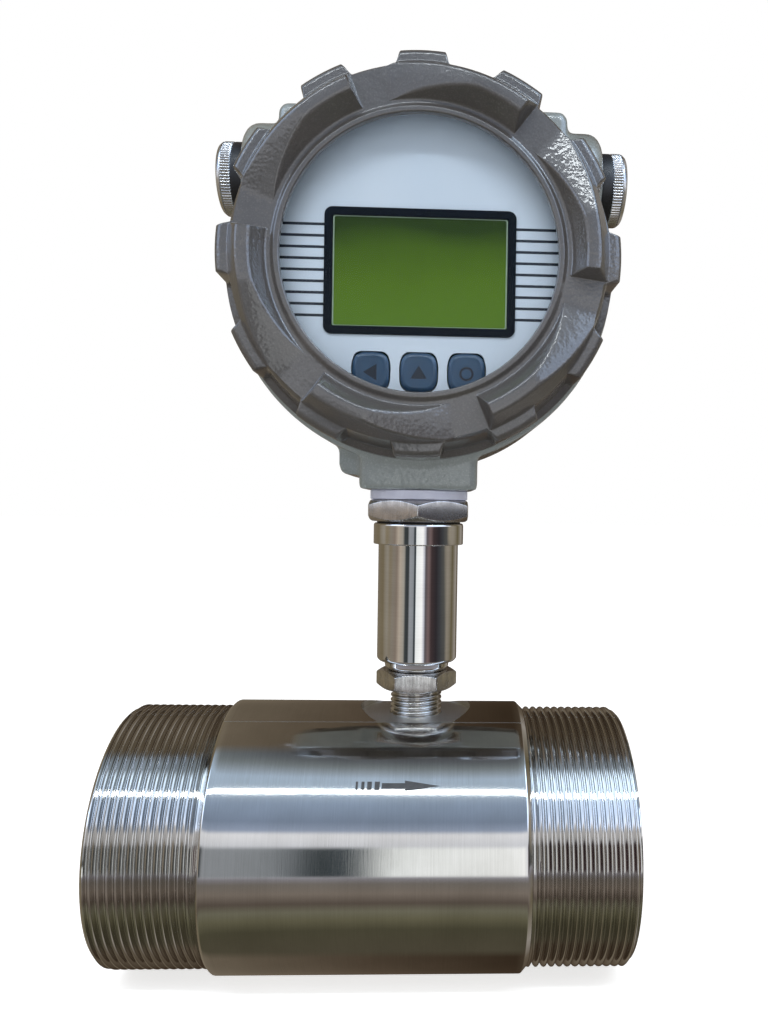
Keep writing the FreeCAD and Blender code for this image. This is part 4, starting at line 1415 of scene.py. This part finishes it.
@dataclass
class Camera:
    """A camera by its place, its three turns, and the image's scale, middle and size."""

    eye: tuple[float, float, float] = (92.7215, -254.2997, 101.3765)
    yaw: float = 0.0402
    pitch: float = 0.0077
    roll: float = -0.0155
    focal_px: float = 817.324
    middle_px: tuple[float, float] = (470.17, 511.344)
    image: tuple[int, int] = (768, 1024)
    sensor_mm: float = 36.0

    def build(self) -> None:
        """Places the camera: it looks along the yaw and pitch, then rolls about that line."""
        y, p, r = self.yaw, self.pitch, self.roll
        ahead = np.array([math.sin(y) * math.cos(p), math.cos(y) * math.cos(p), -math.sin(p)])
        right = np.array([math.cos(y), -math.sin(y), 0])
        down = np.cross(ahead, right)
        across = right * math.cos(r) + down * math.sin(r)
        fall = -right * math.sin(r) + down * math.cos(r)
        (width, height), (u, v) = self.image, self.middle_px
        data = bpy.data.cameras.new("camera")
        data.sensor_width = self.sensor_mm
        data.lens = self.focal_px / height * self.sensor_mm
        data.shift_x, data.shift_y = (width / 2 - u) / height, (v - height / 2) / height
        data.clip_start, data.clip_end = 0.01, 50.0
        piece = bpy.data.objects.new("camera", data)
        stand(piece, across, -fall, -ahead, np.array(self.eye) * MM)
        bpy.context.scene.camera = piece


@dataclass
class MirrorRoom:
    """The room that polished metal mirrors: a glowing dome, seen by mirror rays only.

    Its colours are ramps over angles in degrees: levels by height, bands and backs by
    width. The edges, as shares of the dome's radius, say where one gives way to another.
    """

    radius: float = 2200.0
    middle: tuple[float, float, float] = (STEM_X, 0.0, 60.0)
    levels: tuple[tuple[float, str], ...] = (
        (-90, "#4a463a"), (-62, "#474537"), (-52, "#5e5c4a"), (-45, "#69685a"),
        (-38, "#544c46"), (-30, "#756d66"), (-22, "#6c6864"), (-18, "#7e7d85"),
        (-14, "#c6c9d2"), (-4, "#d6dbe0"), (4, "#c5cad4"), (16, "#dcdfe6"),
        (19, "#8e9cb4"), (26, "#76859c"), (40, "#8799b2"), (50, "#9cb0c6"),
        (62, "#a3b7cd"), (67, "#8c99a6"), (72, "#70797e"), (78, "#555a60"), (90, "#44444a"))
    bands: tuple[tuple[float, str], ...] = (
        (-90, "#7a705c"), (-72, "#7d776e"), (-60, "#7c7168"), (-50, "#a99f93"),
        (-38, "#98958e"), (-33, "#3a3f42"), (-25, "#33383a"), (-21, "#8d9299"),
        (-11, "#858b92"), (-8, "#2c3336"), (-5, "#39424a"), (-3, "#e4eaed"),
        (13, "#f4f7fa"), (19, "#b9bcc8"), (23, "#524f53"), (32, "#6f5f60"),
        (40, "#3c3234"), (55, "#2c292d"), (66, "#3a3c40"), (78, "#4d4e4d"), (90, "#8c8578"))
    backs: tuple[tuple[float, str], ...] = (
        (-90, "#8a857c"), (-62, "#6c6350"), (-20, "#6c6457"), (-4, "#4a4035"),
        (6, "#33291f"), (26, "#5a5145"), (38, "#8e8983"), (60, "#5c5540"), (80, "#868076"))
    bands_from: tuple[float, float] = (-0.30, -0.27)
    bands_to: tuple[float, float] = (0.13, 0.08)
    backs_from: tuple[float, float] = (-0.06, 0.10)
    panels_about: float = -0.1
    panels_aside: tuple[float, float] = (0.42, 0.47)
    panels_above: tuple[float, float] = (0.28, 0.34)
    panels_ahead: tuple[float, float] = (-0.15, -0.25)
    glow: float = 1.6
    panel_glow: float = 9.0

    def build(self) -> None:
        """Hangs the dome: a sphere of points r * (cos e sin a, -cos e cos a, sin e)."""
        rise = np.radians(np.linspace(-90, 90, 49))[:, None]
        turn = np.radians(np.arange(0, 360, 5.0))[None, :]
        ball = np.stack([np.cos(rise) * np.sin(turn), -np.cos(rise) * np.cos(turn),
                         np.sin(rise) * np.ones_like(turn)], axis=-1)
        dome = make_object("tent_dome", [weave(np.array(self.middle) + self.radius * ball,
                                               loop=False)])
        dome.data.materials.append(self.cloth())
        dome.visible_camera = dome.visible_diffuse = dome.visible_shadow = False
        dome.visible_transmission = dome.visible_volume_scatter = False

    def by_sine(self, tree: Tree, stops: tuple[tuple[float, str], ...], value: Socket) -> Socket:
        """A colour by the sine of an angle, from stops in degrees.

        Both the value and the stops' sines are moved to 0..1 by (sine + 1) / 2.

        Args:
            tree: The node tree.
            stops: Angles in degrees, rising, with their colours.
            value: The sine that drives it.

        Returns:
            The colour.
        """
        placed = [((math.sin(math.radians(angle)) + 1) / 2, colour) for angle, colour in stops]
        return ramp(tree, placed, span(tree, value, -1.0))

    def cloth(self) -> Material:
        """Makes the dome's glow, and returns it."""
        material = bpy.data.materials.new("tent_cloth")
        tree = cleared(material)
        unit = add(tree, "Mapping", {
            "vector_type": "TEXTURE", "Location": tuple(np.array(self.middle) * MM),
            "Scale": (self.radius * MM,) * 3}, {"Vector": add(tree, "TexCoord").outputs["Object"]})
        x, y, z = add(tree, "SeparateXYZ", links={0: unit.outputs[0]}).outputs
        # Near the horizon the room's uprights show; higher and lower, its level bands do.
        near = maths(tree, "MULTIPLY", span(tree, z, *self.bands_from),
                     span(tree, z, *self.bands_to))
        front = mixed(tree, near, self.by_sine(tree, self.levels, z),
                      self.by_sine(tree, self.bands, x))
        # The wall behind the meter is dark and warm, lighter towards the left.
        room = mixed(tree, span(tree, y, *self.backs_from), front,
                     self.by_sine(tree, self.backs, x))
        # Two bright ceiling panels, to the left and right of what the bare metal mirrors.
        aside = maths(tree, "ABSOLUTE", maths(tree, "SUBTRACT", x, self.panels_about))
        lit = maths(tree, "MULTIPLY", span(tree, aside, *self.panels_aside),
                    span(tree, z, *self.panels_above))
        lit = maths(tree, "MULTIPLY", lit, span(tree, y, *self.panels_ahead))
        power = span(tree, lit, to_low=self.glow, to_high=self.panel_glow)
        glow = add(tree, "Emission", links={"Color": room, "Strength": power})
        add(tree, "OutputMaterial", links={"Surface": glow.outputs[0]})
        return material


@dataclass
class Studio:
    """The surrounding, the floor, the lamps, the mirrored room and the camera."""

    floor_z: float = -39.25
    floor_reach: float = 6000.0
    floor_glow: float = 0.68
    world_strength: float = 0.43
    target: tuple[float, float, float] = (STEM_X, 0.0, 90.0)
    lamps: tuple[Lamp, ...] = (
        Lamp("key_panel", (-60, -800, 1050), (900, 600), 3.4, "#fbfaff"),
        Lamp("fill_panel", (-200, -1150, 200), (900, 900), 1.8, "#ffffff"),
        Lamp("ceiling_tube", (60, -780, 990), (1500, 50), 5.5, "#f4fbff", True))

    def sees(self, tree: Tree) -> Socket:
        """A socket that is 1 for camera, mirror and transmission rays, and 0 for the rest."""
        path = add(tree, "LightPath").outputs
        first = maths(tree, "MAXIMUM", path["Is Camera Ray"], path["Is Glossy Ray"])
        return maths(tree, "MAXIMUM", first, path["Is Transmission Ray"])

    def world(self) -> None:
        """A white surrounding, and a softer level of it for the light that falls on things."""
        world = bpy.context.scene.world = bpy.data.worlds.new("studio")
        tree = cleared(world)
        level = span(tree, self.sees(tree), to_low=self.world_strength, to_high=1.0)
        shine = add(tree, "Background", {"Color": linear("#ffffff")}, {"Strength": level})
        add(tree, "OutputWorld", links={"Surface": shine.outputs[0]})

    def floor(self) -> None:
        """A wide pale floor under the meter."""
        mesh = bpy.data.meshes.new("floor")
        mesh.from_pydata([(x * self.floor_reach * MM, y * self.floor_reach * MM,
                           self.floor_z * MM) for x, y in ((-1, -1), (1, -1), (1, 1), (-1, 1))],
                         [], [(0, 1, 2, 3)])
        piece = bpy.data.objects.new("floor", mesh)
        bpy.context.scene.collection.objects.link(piece)
        material = bpy.data.materials.new("pale_floor")
        tree = cleared(material)
        paint = add(tree, "BsdfDiffuse", {"Color": linear("#f4f4f4")})
        glow = add(tree, "Emission", {"Color": linear("#ffffff")},
                   {"Strength": span(tree, self.sees(tree), to_high=self.floor_glow)})
        both = add(tree, "AddShader", links={0: paint.outputs[0], 1: glow.outputs[0]})
        add(tree, "OutputMaterial", links={"Surface": both.outputs[0]})
        mesh.materials.append(material)
        piece.visible_glossy = False

    def build(self) -> None:
        """Sets the stage."""
        bpy.context.scene.view_settings.view_transform = "Standard"
        self.world()
        self.floor()
        MirrorRoom().build()
        for lamp in self.lamps:
            lamp.hang(self.target)
        Camera().build()


# ---------------------------------------------------------------- build


def dress_nodes(shop: Workshop) -> None:
    """Gives each CAD node the finish of the record's slot for it."""
    for row in shop.frame["record"]["subparts"]:
        for slot in shop.frame["nodes"][row["node"]].material_slots:
            slot.material = shop.materials[row["material_slot"]]


def main() -> None:
    """Builds the meter in order."""
    logging.basicConfig(level=logging.INFO, format="%(message)s")
    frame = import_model()
    shop = Workshop(frame, {name: finish.make() for name, finish in (FINISHES | MARKS).items()})
    Studio().build()
    for assembly in (MeterBody(), Stem(), Housing(), RearCover(), Display(), FrontCover()):
        log.info("building %s", type(assembly).__name__)
        assembly.build(shop)
    dress_nodes(shop)


if __name__ == "__main__":
    main()
